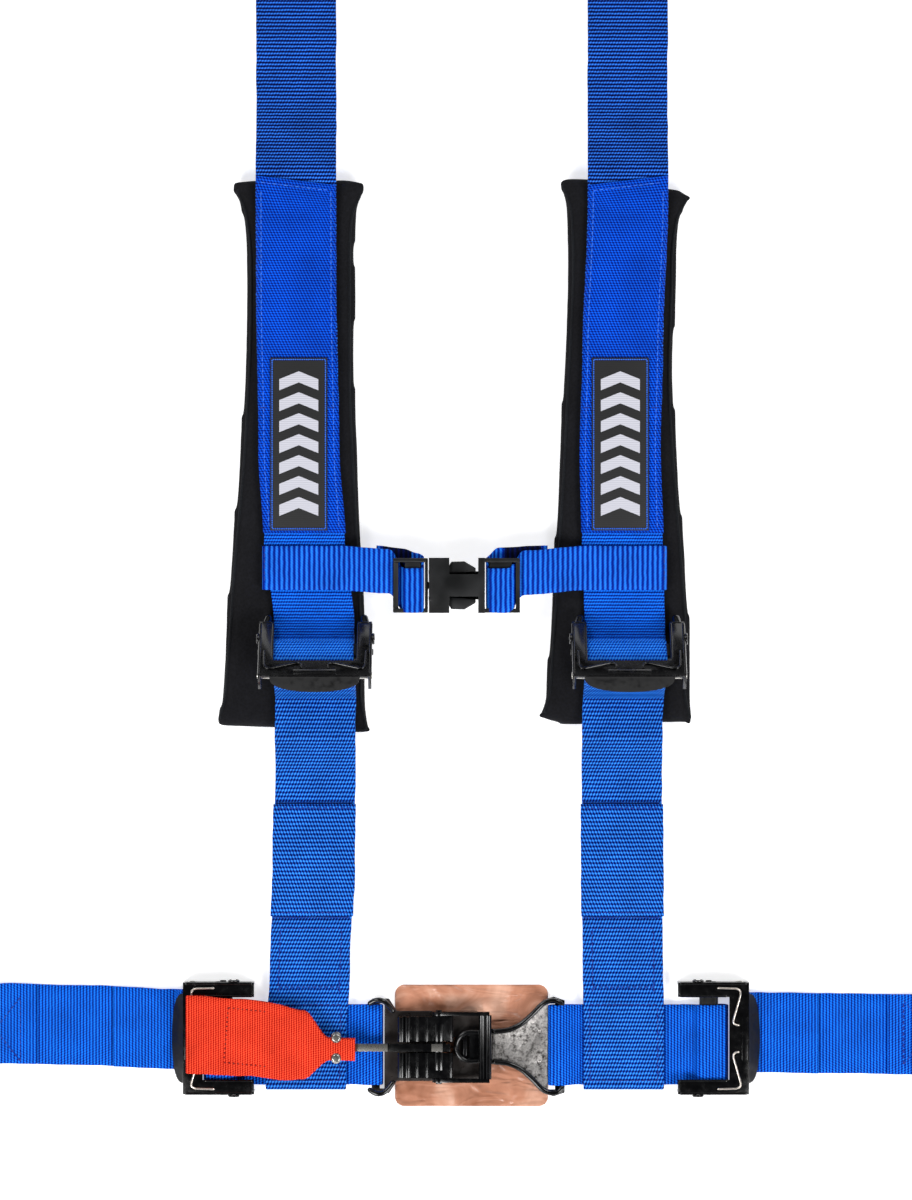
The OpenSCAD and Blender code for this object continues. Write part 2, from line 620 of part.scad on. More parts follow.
module buckle_sheet() {
    color([0.62, 0.42, 0.25]) at_buckle() linear_extrude(sheet_t) polygon(concat(
        arc([48.6, 32.5], 6, 0, 90, 6), arc([-36.5, 32.5], 6, 90, 180, 6),
        arc([-36.5, -32.5], 6, 180, 270, 6), arc([48.6, -32.5], 6, 270, 360, 6)
    ));
}

shoulder_strap(-1);  // shoulder_strap_left
shoulder_strap(1);  // shoulder_strap_right
pad_cover(-1);  // pad_cover_left
pad_cover(1);  // pad_cover_right
pad_core(-1);  // pad_core_left
pad_core(1);  // pad_core_right
cover_panel(-1);  // cover_panel_left
cover_panel(1);  // cover_panel_right
label_patch(-1);  // label_patch_left
label_patch(1);  // label_patch_right
sternum_strap(-1);  // sternum_strap_left
sternum_strap(1);  // sternum_strap_right
sternum_socket();
sternum_plug();
sternum_prong(1);  // sternum_prong_upper
sternum_prong(-1);  // sternum_prong_lower
lower_strap(-1);  // lower_strap_left
lower_strap(1);  // lower_strap_right
keeper_sleeve(-1);  // keeper_sleeve_left
keeper_sleeve(1);  // keeper_sleeve_right
lap_inner_strap(-1);  // lap_inner_strap_left
lap_inner_strap(1);  // lap_inner_strap_right
lap_anchor_strap(-1);  // lap_anchor_strap_left
lap_anchor_strap(1);  // lap_anchor_strap_right
lap_anchor(-1);  // lap_anchor_left
lap_anchor(1);  // lap_anchor_right
shoulder_anchor(-1);  // shoulder_anchor_left
shoulder_anchor(1);  // shoulder_anchor_right
at_lap(-1) adjuster_frame();  // lap_frame_left
at_lap(1) adjuster_frame();  // lap_frame_right
at_lap(-1) adjuster_slide();  // lap_slide_left
at_lap(1) adjuster_slide();  // lap_slide_right
at_lap(-1) adjuster_rod();  // lap_rod_left
at_lap(1) adjuster_rod();  // lap_rod_right
at_lap(-1) adjuster_springs();  // lap_springs_left
at_lap(1) adjuster_springs();  // lap_springs_right
at_shoulder(-1) adjuster_frame();  // shoulder_frame_left
at_shoulder(1) adjuster_frame();  // shoulder_frame_right
at_shoulder(-1) adjuster_slide();  // shoulder_slide_left
at_shoulder(1) adjuster_slide();  // shoulder_slide_right
at_shoulder(-1) adjuster_rod();  // shoulder_rod_left
at_shoulder(1) adjuster_rod();  // shoulder_rod_right
at_shoulder(-1) adjuster_springs();  // shoulder_springs_left
at_shoulder(1) adjuster_springs();  // shoulder_springs_right
latch_plate();
latch_body();
latch_hook();
latch_ears();
lever_pin();
lever();
keeper();
link();
pull_tab();
tab_rivets();
buckle_sheet();
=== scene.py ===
"""Looks of a four-point racing harness that lies flat, with a latch-and-link lap buckle.

Sizes are in millimetres and are turned to metres where a mesh is made. Places are lap
coordinates: x from the buckle's middle line, y up from the lap line and z up from the surface that
the harness lies on.
"""

import json
import logging
import math
from collections.abc import Callable, Sequence
from dataclasses import dataclass, field
from enum import Enum
from typing import Any

import bmesh
import bpy
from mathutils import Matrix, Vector, noise
from mathutils.bvhtree import BVHTree

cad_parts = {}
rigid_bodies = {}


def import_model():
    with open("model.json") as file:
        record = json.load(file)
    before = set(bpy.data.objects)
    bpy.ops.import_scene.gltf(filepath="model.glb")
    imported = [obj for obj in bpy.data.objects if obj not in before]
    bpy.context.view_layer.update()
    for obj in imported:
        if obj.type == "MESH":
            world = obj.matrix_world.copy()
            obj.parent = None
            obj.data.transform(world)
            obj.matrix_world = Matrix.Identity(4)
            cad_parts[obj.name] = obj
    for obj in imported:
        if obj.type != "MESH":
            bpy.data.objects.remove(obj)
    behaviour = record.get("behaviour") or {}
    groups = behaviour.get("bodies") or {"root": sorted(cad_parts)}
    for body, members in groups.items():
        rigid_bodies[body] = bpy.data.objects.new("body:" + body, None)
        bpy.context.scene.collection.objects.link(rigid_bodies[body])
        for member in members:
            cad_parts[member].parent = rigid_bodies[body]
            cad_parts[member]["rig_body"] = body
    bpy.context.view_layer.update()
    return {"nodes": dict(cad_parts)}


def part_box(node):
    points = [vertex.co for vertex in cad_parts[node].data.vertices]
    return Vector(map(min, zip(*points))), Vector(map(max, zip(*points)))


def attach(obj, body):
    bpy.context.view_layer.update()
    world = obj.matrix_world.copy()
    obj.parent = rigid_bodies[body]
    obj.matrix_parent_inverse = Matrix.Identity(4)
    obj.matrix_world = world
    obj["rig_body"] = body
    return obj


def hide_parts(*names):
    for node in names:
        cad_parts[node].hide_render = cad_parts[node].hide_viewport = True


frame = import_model()

log = logging.getLogger("harness")

MM = 0.001
UP = Vector((0, 0, 1))
ALONG_X = Vector((1, 0, 0))
ALONG_Y = Vector((0, 1, 0))
WEAVE_MAP = "weave"

WEB_T = 1.5  # thickness of all webbing
WEB_W = 50.8
LAY_GAP = 0.3  # air between layers that lie on each other
PITCH = WEB_T + LAY_GAP
LOW_Z = 0.2 + WEB_T / 2  # middle of a layer that lies on the surface
PAD_T = 15.0
UNDER_Z = PAD_T + LAY_GAP + WEB_T / 2
STRAP_Z = UNDER_Z + PITCH
OVER_Z = STRAP_Z + PITCH
ANCHOR_Z = 4.193  # middle of the loop round an anchor plate's bar
ANCHOR_LOOP = 3.243  # and its radius
BUCKLE_Y = -6.5
Y_MID = BUCKLE_Y - sum(corner.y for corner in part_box("lever_pin")) / 2 / MM

Point = tuple[float, float]
Knots = tuple[tuple[Point, ...], ...]  # a curve for the left side and one for the right


class Side(Enum):
    """Which half of the harness a piece belongs to, as the sign of its x."""

    LEFT = -1
    RIGHT = 1

    @property
    def word(self) -> str:
        """The ending of the piece's name."""
        return self.name.lower()

    def of(self, pair: Sequence[Any]) -> Any:
        """The left or the right one of a pair."""
        return pair[0 if self is Side.LEFT else 1]


# --- small geometry helpers -----------------------------------------------------------------------


def metres(point: Vector) -> Vector:
    """Turns a place in lap coordinates to the frame's metres."""
    return Vector((point.x, point.y - Y_MID, point.z)) * MM


def arc(centre: Point, radius: float, start: float, end: float, steps: int = 10) -> list[Point]:
    """Points of an arc.

    Args:
        centre: Middle of the arc.
        radius: Its radius.
        start: Angle of the first point in degrees.
        end: Angle of the last point in degrees.
        steps: Number of chords.

    Returns:
        The points in order.
    """
    angles = (math.radians(start + (end - start) * i / steps) for i in range(steps + 1))
    return [(centre[0] + radius * math.cos(a), centre[1] + radius * math.sin(a)) for a in angles]


def shifted(points: Sequence[Point], by: float) -> list[Point]:
    """The points moved along their first axis."""
    return [(p[0] + by, p[1]) for p in points]


def between(x: float, knots: Sequence[Point]) -> float:
    """A smooth curve through a few knots, level at each of them.

    Args:
        x: Where the curve is read.
        knots: Places and values, in rising order of place.

    Returns:
        The value at x, and the end values beyond the ends.
    """
    if x <= knots[0][0]:
        return knots[0][1]
    for (a, low), (b, high) in zip(knots, knots[1:]):
        if x <= b:
            k = (x - a) / (b - a)
            return low + (high - low) * k * k * (3 - 2 * k)
    return knots[-1][1]


def resampled(points: Sequence[Vector], step: float) -> list[Vector]:
    """The same line with points at even steps along it."""
    lengths = [(b - a).length for a, b in zip(points, points[1:])]
    count = max(2, round(sum(lengths) / step))
    spacing = sum(lengths) / count
    out, i, behind = [points[0].copy()], 0, 0.0
    for n in range(1, count):
        while behind + lengths[i] < n * spacing:
            behind += lengths[i]
            i += 1
        out.append(points[i].lerp(points[i + 1], (n * spacing - behind) / lengths[i]))
    return [*out, points[-1].copy()]


def softened(points: list[Vector], passes: int) -> list[Vector]:
    """The line with its corners rounded by averaging neighbours, both ends kept."""
    for _ in range(passes):
        inner = [(a + b * 2 + c) / 4 for a, b, c in zip(points, points[1:], points[2:])]
        points = [points[0], *inner, points[-1]]
    return points


def skin(ring: int, count: int, closed: bool = False) -> list[tuple[int, ...]]:
    """Faces over a row of rings.

    Args:
        ring: Number of vertices of a ring.
        count: Number of rings.
        closed: Whether the last ring meets the first; if not, both ends get a face.

    Returns:
        The vertex numbers of each face.
    """
    last = count if closed else count - 1
    faces: list[tuple[int, ...]] = []
    for i in range(last):
        here, there = i * ring, (i + 1) % count * ring
        for k in range(ring):
            other = (k + 1) % ring
            faces.append((here + k, here + other, there + other, there + k))
    if not closed:
        faces += [tuple(range(ring - 1, -1, -1)), tuple(range((count - 1) * ring, count * ring))]
    return faces


def grid(rows: int, columns: int) -> list[tuple[int, ...]]:
    """Faces of an open sheet with so many rows and columns of faces."""
    ring = columns + 1
    return [
        (a + j, a + j + 1, a + ring + j + 1, a + ring + j)
        for a in range(0, rows * ring, ring) for j in range(columns)
    ]


def new_object(
    name: str, verts: Sequence[Vector], faces: Sequence[Sequence[int]]
) -> bpy.types.Object:
    """Makes a mesh object, smooth shaded, from vertices in metres."""
    mesh = bpy.data.meshes.new(name)
    mesh.from_pydata([tuple(v) for v in verts], [], [tuple(f) for f in faces])
    mesh.validate()
    obj = bpy.data.objects.new(name, mesh)
    bpy.context.scene.collection.objects.link(obj)
    mesh.shade_smooth()
    return obj


def mapped(obj: bpy.types.Object, maps: Sequence[Point]) -> None:
    """Adds the weave's map, from one place for each vertex."""
    layer = obj.data.uv_layers.new(name=WEAVE_MAP)
    for loop in obj.data.loops:
        layer.data[loop.index].uv = maps[loop.vertex_index]


def faced_outward(obj: bpy.types.Object) -> None:
    """Turns every face of a closed mesh to the outside."""
    mesh = bmesh.new()
    mesh.from_mesh(obj.data)
    bmesh.ops.recalc_face_normals(mesh, faces=mesh.faces)
    mesh.to_mesh(obj.data)
    mesh.free()
    obj.data.update()


def applied(obj: bpy.types.Object) -> None:
    """Turns an object's modifiers into its mesh."""
    graph = bpy.context.evaluated_depsgraph_get()
    mesh = bpy.data.meshes.new_from_object(obj.evaluated_get(graph))
    obj.modifiers.clear()
    obj.data = mesh


def thickened(obj: bpy.types.Object, thick: float) -> None:
    """Gives an open sheet a thickness below its surface."""
    solid = obj.modifiers.new("thickness", "SOLIDIFY")
    solid.thickness, solid.offset = thick * MM, -1
    applied(obj)


def join(objects: Sequence[bpy.types.Object], name: str) -> bpy.types.Object:
    """Joins meshes into the first one, which gets the given name."""
    mesh = bmesh.new()
    for obj in objects:
        mesh.from_mesh(obj.data)
    mesh.to_mesh(objects[0].data)
    mesh.free()
    objects[0].data.shade_smooth()
    for obj in objects[1:]:
        bpy.data.objects.remove(obj)
    objects[0].name = name
    return objects[0]


def faced(
    obj: bpy.types.Object, finishes: Sequence["Finish"],
    which: Callable[[bpy.types.MeshPolygon], int],
) -> None:
    """Gives a piece several materials.

    Args:
        obj: The piece.
        finishes: What its faces are made of.
        which: Tells a face's place in the finishes.
    """
    for finish in finishes:
        obj.data.materials.append(finish.material())
    for face in obj.data.polygons:
        face.material_index = int(which(face))


def placed(
    obj: bpy.types.Object, body: str, finish: "Finish", nodes: Sequence[str] = ()
) -> bpy.types.Object:
    """Gives a finished mesh its material, its body and the nodes that it stands for.

    Args:
        obj: The piece.
        body: Body that it moves with.
        finish: What its surface is made of.
        nodes: CAD nodes that it replaces.

    Returns:
        The same piece.
    """
    if not obj.data.materials:
        obj.data.materials.append(finish.material())
    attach(obj, body)
    if nodes:
        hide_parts(*nodes)
    log.info("%s: %d faces on %s", obj.name, len(obj.data.polygons), body)
    return obj


# --- finishes -------------------------------------------------------------------------------------


def linear(hex_colour: str) -> tuple[float, float, float, float]:
    """Turns an sRGB hex colour to a linear one with full alpha."""
    parts = (int(hex_colour[i:i + 2], 16) / 255 for i in (1, 3, 5))
    return (*(c / 12.92 if c <= 0.04045 else ((c + 0.055) / 1.055) ** 2.4 for c in parts), 1.0)


def feed(tree: bpy.types.NodeTree, node: bpy.types.Node, inputs: dict[Any, Any]) -> None:
    """Gives a node its inputs: an output socket is linked, any other value is set.

    Args:
        tree: The node's tree.
        node: The node.
        inputs: What each input gets.
    """
    for key, value in inputs.items():
        if isinstance(value, bpy.types.NodeSocket):
            tree.links.new(value, node.inputs[key])
        else:
            node.inputs[key].default_value = value


def add_node(
    tree: bpy.types.NodeTree, kind: str, inputs: dict[Any, Any] | None = None, **settings: Any
) -> bpy.types.Node:
    """Adds a node with its settings and links.

    Args:
        tree: Node tree to add it to.
        kind: Name of the node's type without its ShaderNode prefix.
        inputs: What each input gets: an output socket to link, or a value.
        settings: The node's attributes; stops gives the places and hex colours of a colour ramp.

    Returns:
        The new node.
    """
    node = tree.nodes.new("ShaderNode" + kind)
    stops = settings.pop("stops", None)
    for key, value in settings.items():
        setattr(node, key, value)
    if stops:
        elements = node.color_ramp.elements
        while len(elements) < len(stops):
            elements.new(0.5)
        for element, (place, colour) in zip(elements, stops):
            element.position, element.color = place, linear(colour)
    feed(tree, node, inputs or {})
    return node


def place_node(tree: bpy.types.NodeTree) -> bpy.types.NodeSocket:
    """The place on the object itself."""
    return add_node(tree, "TexCoord").outputs["Object"]


def noise_node(
    tree: bpy.types.NodeTree, at: bpy.types.NodeSocket, scale: float, detail: float = 2.0,
    **more: float,
) -> bpy.types.NodeSocket:
    """Noise at a place; more gives its other inputs."""
    inputs = {"Vector": at, "Scale": scale, "Detail": detail, **more}
    return add_node(tree, "TexNoise", inputs).outputs["Fac"]


def wave_node(
    tree: bpy.types.NodeTree, at: bpy.types.NodeSocket, period_mm: float, axis: str,
    inputs: dict[str, float],
) -> bpy.types.NodeSocket:
    """Waves along an axis that repeat at a real distance, for coordinates in metres."""
    scale = 2 * math.pi / (20 * period_mm * MM)
    inputs = {"Vector": at, "Scale": scale, **inputs}
    return add_node(tree, "TexWave", inputs, bands_direction=axis).outputs["Fac"]


def ramp_node(
    tree: bpy.types.NodeTree, at: bpy.types.NodeSocket, *stops: tuple[float, str]
) -> bpy.types.NodeSocket:
    """A colour ramp with the given places and hex colours."""
    return add_node(tree, "ValToRGB", {0: at}, stops=stops).outputs[0]


def range_node(
    tree: bpy.types.NodeTree, noise_in: bpy.types.NodeSocket, low: float, high: float
) -> bpy.types.NodeSocket:
    """Stretches the middle part of a noise to a range."""
    return add_node(tree, "MapRange", {0: noise_in, 1: 0.3, 2: 0.7, 3: low, 4: high}).outputs[0]


def bump_node(
    tree: bpy.types.NodeTree, height: bpy.types.NodeSocket, strength: float, depth_mm: float,
    invert: bool = False,
) -> bpy.types.NodeSocket:
    """A bump of a real depth."""
    inputs = {"Height": height, "Strength": strength, "Distance": depth_mm * MM}
    return add_node(tree, "Bump", inputs, invert=invert).outputs[0]


@dataclass(frozen=True)
class Finish:
    """What a surface is made of. Each kind of finish fills in its own nodes."""

    name: str

    def material(self) -> bpy.types.Material:
        """The Blender material, made once for each name."""
        known = bpy.data.materials.get(self.name)
        if known:
            return known
        made = bpy.data.materials.new(self.name)
        made.use_nodes = True
        tree = made.node_tree
        self.dress(tree, tree.nodes["Principled BSDF"])
        return made

    def dress(self, tree: bpy.types.NodeTree, shader: bpy.types.Node) -> None:
        """Adds this finish's nodes to a new material."""
        raise NotImplementedError


@dataclass(frozen=True)
class Webbing(Finish):
    """Woven polyester or nylon: cross ribs with fine yarns over them, a painted highlight on their
    crowns and painted shade in their gaps.
    """

    # The three colours run from the weave's gaps to its crowns: painted shade, the yarn's own
    # colour, painted highlight.
    gap: str
    yarn: str
    shine: str
    rib: float = 2.0  # from one cross rib to the next
    thread: float = 1.5  # real yarns are 0.5 mm apart; drawn coarser, or they would not show
    rib_share: float = 0.65
    roughness: float = 0.6
    depth: float = 0.25
    skew: float = 24.0  # lean of the yarns, in degrees

    def dress(self, tree: bpy.types.NodeTree, shader: bpy.types.Node) -> None:
        """Ribs across the strap and yarns along it, from the map that follows the webbing."""
        weave = add_node(tree, "UVMap", uv_map=WEAVE_MAP).outputs[0]
        stray = {"Distortion": 0.8, "Detail": 1.0, "Detail Scale": 2.0}
        ribs = wave_node(tree, weave, self.rib, "X", stray)
        lean = {"Vector": weave, "Rotation": (0, 0, math.radians(self.skew))}
        skew = add_node(tree, "Mapping", lean).outputs[0]
        yarns = wave_node(tree, skew, self.thread, "Y", {"Distortion": 0.5, "Detail": 1.0})
        parts = {0: 1 - self.rib_share, 2: ribs, 3: yarns}
        height = add_node(tree, "Mix", parts, data_type="FLOAT").outputs[0]
        # Low parts of the weave darker and high parts paler: painted shade in the gaps and painted
        # highlight on the crowns.
        tone = ramp_node(tree, height, (0.2, self.gap), (0.52, self.yarn), (0.92, self.shine))
        shade = range_node(tree, noise_node(tree, weave, 45.0, 3.0), 0.82, 1.12)
        colour = add_node(tree, "HueSaturation", {"Color": tone, "Value": shade}).outputs[0]
        feed(tree, shader, {
            "Base Color": colour, "Normal": bump_node(tree, height, 0.7, self.depth),
            "Roughness": self.roughness, "Specular IOR Level": 0.06,
        })


@dataclass(frozen=True)
class PadCloth(Finish):
    """Knitted cover cloth with a felt-like matte surface, darker in its folds."""

    dark: str
    pale: str
    knit: float = 1.6  # real loops are 0.6 mm; drawn coarser, or they would not show

    def dress(self, tree: bpy.types.NodeTree, shader: bpy.types.Node) -> None:
        """Small loops from a cell pattern, and slow changes of tone from handling."""
        place = place_node(tree)
        cells = {"Vector": place, "Scale": 1 / (self.knit * MM)}
        loops = add_node(tree, "TexVoronoi", cells).outputs["Distance"]
        parts = {0: 0.35, 2: noise_node(tree, place, 28.0, 5.0), 3: loops}
        blend = add_node(tree, "Mix", parts, data_type="FLOAT").outputs[0]
        feed(tree, shader, {
            "Base Color": ramp_node(tree, blend, (0.25, self.dark), (0.8, self.pale)),
            "Normal": bump_node(tree, loops, 0.35, 0.2, invert=True),
            "Roughness": 0.92, "Specular IOR Level": 0.12, "Sheen Weight": 0.04,
        })


@dataclass(frozen=True)
class CoatedSteel(Finish):
    """Pressed steel under a black gloss coat: deep black, crisp highlights and a faint ripple."""

    coat: str
    rubbed: str
    roughness: float = 0.2
    wear: float = 0.62  # how high the noise must be before the coat looks rubbed
    clear: float = 0.6

    def dress(self, tree: bpy.types.NodeTree, shader: bpy.types.Node) -> None:
        """A slow ripple of the coat, small rubbed patches and a roughness that varies."""
        place = place_node(tree)
        ripple = noise_node(tree, place, 240.0, 4.0)
        specks = noise_node(tree, place, 900.0, 6.0, Roughness=0.7)
        worn = (self.wear, self.coat), (self.wear + 0.12, self.rubbed)
        feed(tree, shader, {
            "Base Color": ramp_node(tree, specks, *worn),
            "Roughness": range_node(tree, ripple, self.roughness * 0.8, self.roughness * 1.5),
            "Normal": bump_node(tree, ripple, 0.15, 0.08),
            "Coat Weight": self.clear, "Coat Roughness": 0.08, "Specular IOR Level": 0.45,
        })


@dataclass(frozen=True)
class BareSteel(Finish):
    """Plated or worn steel: grey metal with a fine grain and darker smudges."""

    dark: str
    pale: str
    roughness: float = 0.3
    grain: float = 0.5
    depth: float = 0.05

    def dress(self, tree: bpy.types.NodeTree, shader: bpy.types.Node) -> None:
        """A grain of the given size that moves colour, roughness and the surface together."""
        scale = 0.5 / (self.grain * MM)
        grain = noise_node(tree, place_node(tree), scale, 5.0, Roughness=0.65)
        feed(tree, shader, {
            "Base Color": ramp_node(tree, grain, (0.36, self.dark), (0.6, self.pale)),
            "Roughness": range_node(tree, grain, self.roughness * 1.4, self.roughness * 0.8),
            "Normal": bump_node(tree, grain, 0.6, self.depth), "Metallic": 1.0,
        })


@dataclass(frozen=True)
class Moulded(Finish):
    """Injection-moulded acetal: dark, even, with the fine spark texture of its mould."""

    dark: str
    pale: str
    roughness: float = 0.42

    def dress(self, tree: bpy.types.NodeTree, shader: bpy.types.Node) -> None:
        """A fine texture in the surface and a slow change in its gloss."""
        place = place_node(tree)
        spark = noise_node(tree, place, 1500.0, 3.0)
        slow = noise_node(tree, place, 60.0)
        feed(tree, shader, {
            "Base Color": ramp_node(tree, slow, (0.35, self.dark), (0.7, self.pale)),
            "Roughness": range_node(tree, slow, self.roughness * 0.85, self.roughness * 1.2),
            "Normal": bump_node(tree, spark, 0.3, 0.05),
        })


@dataclass(frozen=True)
class Film(Finish):
    """Coloured plastic film over thin backing: glossy, with creases that catch the light."""

    dark: str
    body: str
    pale: str

    def dress(self, tree: bpy.types.NodeTree, shader: bpy.types.Node) -> None:
        """Creases from stretched noise, and a mottled colour where the film lifts."""
        place = place_node(tree)
        mottle = noise_node(tree, place, 38.0, 4.0, Distortion=0.8)
        turn = {"Vector": place, "Rotation": (0, 0, 0.7), "Scale": (1.0, 2.6, 1.0)}
        pull = add_node(tree, "Mapping", turn).outputs[0]
        crease = noise_node(tree, pull, 36.0, 1.4, Distortion=1.4)
        tones = (0.3, self.dark), (0.5, self.body), (0.72, self.pale)
        feed(tree, shader, {
            "Base Color": ramp_node(tree, mottle, *tones),
            "Normal": bump_node(tree, crease, 0.9, 4.0),
            "Roughness": 0.3, "Coat Weight": 0.7, "Coat Roughness": 0.1,
        })


@dataclass(frozen=True)
class Printed(Finish):
    """Satin label cloth or the ink on it: a tight weave that shows as faint rows."""

    dark: str
    pale: str
    row: float = 1.2  # real rows are 0.3 mm apart; drawn coarser, or they would not show
    roughness: float = 0.6

    def dress(self, tree: bpy.types.NodeTree, shader: bpy.types.Node) -> None:
        """Rows of the weave in colour and height."""
        rows = wave_node(tree, place_node(tree), self.row, "Y", {"Distortion": 1.0})
        feed(tree, shader, {
            "Base Color": ramp_node(tree, rows, (0.0, self.dark), (1.0, self.pale)),
            "Normal": bump_node(tree, rows, 0.3, 0.06), "Roughness": self.roughness,
        })


@dataclass(frozen=True)
class Backdrop(Finish):
    """White acrylic lit from below: it swallows most shadows and keeps a barely visible tooth."""

    top: str
    shade: str
    glow: float = 0.62

    def dress(self, tree: bpy.types.NodeTree, shader: bpy.types.Node) -> None:
        """A faint tooth in colour and an even glow."""
        tooth = noise_node(tree, place_node(tree), 400.0)
        colour = ramp_node(tree, tooth, (0.3, self.shade), (0.7, self.top))
        feed(tree, shader, {
            "Base Color": colour, "Emission Color": colour, "Emission Strength": self.glow,
            "Roughness": 0.9, "Specular IOR Level": 0.1,
        })


BLUE_WEBBING = Webbing("polyester_webbing_blue", "#000F60", "#0050D6", "#1C86FF")
# Coarser weave, darker as a painted shade: the upper shoulder straps lie farther from the front
# lamps.
UPPER_SHADE_WEBBING = Webbing(
    "polyester_webbing_deep_blue", "#00041E", "#04268C", "#3488FF", rib=2.3, thread=1.7
)
DOTTED_WEBBING = Webbing(
    "polyester_webbing_dotted_blue", "#00083E", "#0444B4", "#3C9CFF", rib=2.6, thread=1.8,
    rib_share=0.5, skew=20.0,
)
BLUE_RIBBED = Webbing(
    "nylon_webbing_blue_coarse", "#00107C", "#0450D2", "#2C8CFF",
    rib=3.15, thread=0.9, rib_share=0.7, roughness=0.5,
)
# Near-black copy of the sternum blue: painted shade on the layer that lies under the buckle and the
# upper layer.
UNDER_SHADE_WEBBING = Webbing(
    "nylon_webbing_navy_reverse", "#000312", "#01062E", "#020F50", rib=3.15, thread=0.9,
)
BLUE_PANEL = Webbing(
    "nylon_plain_weave_blue", "#000C5C", "#003EC6", "#0E68F6",
    rib=1.6, thread=1.8, rib_share=0.5, roughness=0.6, depth=0.12,
)
RED_WEBBING = Webbing(
    "polyester_webbing_red", "#A00C04", "#E8331A", "#FA5C3C", rib=1.54, thread=1.3,
)
PAD_CLOTH = PadCloth("knitted_pad_cloth_black", "#0D0D0F", "#1B1B1F")
PIPING = PadCloth("bound_edge_cloth_black", "#0B0C0E", "#202226", knit=1.0)
# A brighter copy of the blue: painted highlight on the strap's roll over a shoulder adjuster's
# slide bar.
ROLL_HIGHLIGHT_WEBBING = Webbing(
    "polyester_webbing_blue_taut", "#001684", "#0070FF", "#48A2FF", rib=2.3, thread=1.7,
    rib_share=0.5,
)
BLACK_STEEL = CoatedSteel("gloss_coated_steel_black", "#040405", "#121211", wear=0.7, clear=0.45)
SATIN_STEEL = CoatedSteel(
    "satin_coated_steel_black", "#141415", "#272727", roughness=0.42, clear=0.15
)
LIP_STEEL = CoatedSteel(
    "satin_coated_steel_grey", "#050506", "#0B0B0C", roughness=0.45, clear=0.0
)
SLOT_STEEL = CoatedSteel("coated_steel_brown_grey", "#2C2725", "#463D39", roughness=0.3, clear=0.3)
# Bare worn steel of the rods, rivets and lever blade; also a painted highlight on two spans of the
# lever's top.
WORN_STEEL_AND_GLINT = BareSteel("worn_steel_bright", "#8C8983", "#DAD7D0", roughness=0.28)
GRAIN_STEEL = BareSteel(
    "grained_cast_steel", "#3E3B39", "#D6D2CF", roughness=0.38, grain=1.3, depth=0.35
)
ZINC_WIRE = BareSteel("zinc_plated_wire", "#C9BDB2", "#FFF6EC", roughness=0.3, grain=0.8)
BUCKLE_PLASTIC = Moulded("moulded_acetal_black", "#0A0B0C", "#131416")
TAN_FILM = Film("creased_film_tan", "#9E6448", "#C98C70", "#F3C2A8")
LABEL_CLOTH = Printed("label_satin_black", "#0B0B0C", "#151517")
LABEL_INK = Printed("label_ink_grey", "#B9B9C4", "#D3D3DC", roughness=0.5)
BLUE_THREAD = Printed("bonded_thread_blue", "#0B49D2", "#3C8CFF", row=0.9)
DARK_THREAD = Printed("bonded_thread_deep_blue", "#021A78", "#06309F", row=0.9)
RED_THREAD = Printed("bonded_thread_dark_red", "#5A0606", "#8C0F08", row=0.9)
LIGHT_TABLE = Backdrop("backlit_acrylic_white", "#F6F6F6", "#F2F2F2")


# --- ways of making a piece -----------------------------------------------------------------------


@dataclass
class Ribbon:
    """A length of webbing swept along its middle line, with cross ribs and rounded selvedges.

    Attributes:
        name: Name of the piece.
        line: Middle line in lap coordinates.
        across: Direction of the webbing's width.
        width: Width, or half width at a share of the length.
        sway: How far the webbing drifts sideways at a place.
        rib: Distance of the cross ribs.
        rib_depth: How far they stand out.
        step: Distance of the rows of the mesh.
        passes: How often the line's corners are rounded.
        thick: Thickness.
        columns: Number of faces across the upper side.
        selvedge: How far the edges stray.
    """

    name: str
    line: Sequence[Vector]
    across: Vector
    width: float | Callable[[float], float] = WEB_W
    sway: Callable[[Vector], float] = lambda place: 0.0
    rib: float = 2.0
    rib_depth: float = 0.07
    step: float = 0.5
    passes: int = 6
    thick: float = WEB_T
    columns: int = 10
    selvedge: float = 0.35

    def section(self, half: float, swell: float) -> list[tuple[float, float, float]]:
        """Outline of one row: place across, height and place on the weave's map."""
        high = self.thick / 2
        flat = half - 0.5
        top = [
            (flat * (2 * i / self.columns - 1), high + swell) for i in range(self.columns + 1)
        ]
        edge = [(half - 0.15, high * 0.62), (half, 0.0), (half - 0.15, -high * 0.62)]
        below = [(-v, -w) for v, w in top]
        other = [(-v, -w) for v, w in edge]
        return [(v, w, v) for v, w in [*top, *edge, *below, *other]]

    def build(self) -> bpy.types.Object:
        """Sweeps the section along the line, closes the ends and adds the weave's map."""
        line = softened(resampled(self.line, self.step), self.passes)
        verts: list[Vector] = []
        maps: list[Point] = []
        run = 0.0
        for i, place in enumerate(line):
            ahead = (line[min(i + 1, len(line) - 1)] - line[max(i - 1, 0)]).normalized()
            lift = ahead.cross(self.across).normalized()
            if i:
                run += (place - line[i - 1]).length
            share = i / (len(line) - 1)
            half = self.width(share) if callable(self.width) else self.width / 2
            swell = self.rib_depth * math.cos(2 * math.pi * run / self.rib)
            drift = self.sway(place)
            for v, w, across in self.section(half, swell):
                fray = self.selvedge * abs(v / half) ** 8 * noise.noise(Vector((run / 9, v, 3.7)))
                verts.append(metres(place + self.across * (v + drift + fray) + lift * w))
                maps.append((run * MM, across * MM))
        obj = new_object(self.name, verts, skin(len(verts) // len(line), len(line)))
        mapped(obj, maps)
        return obj


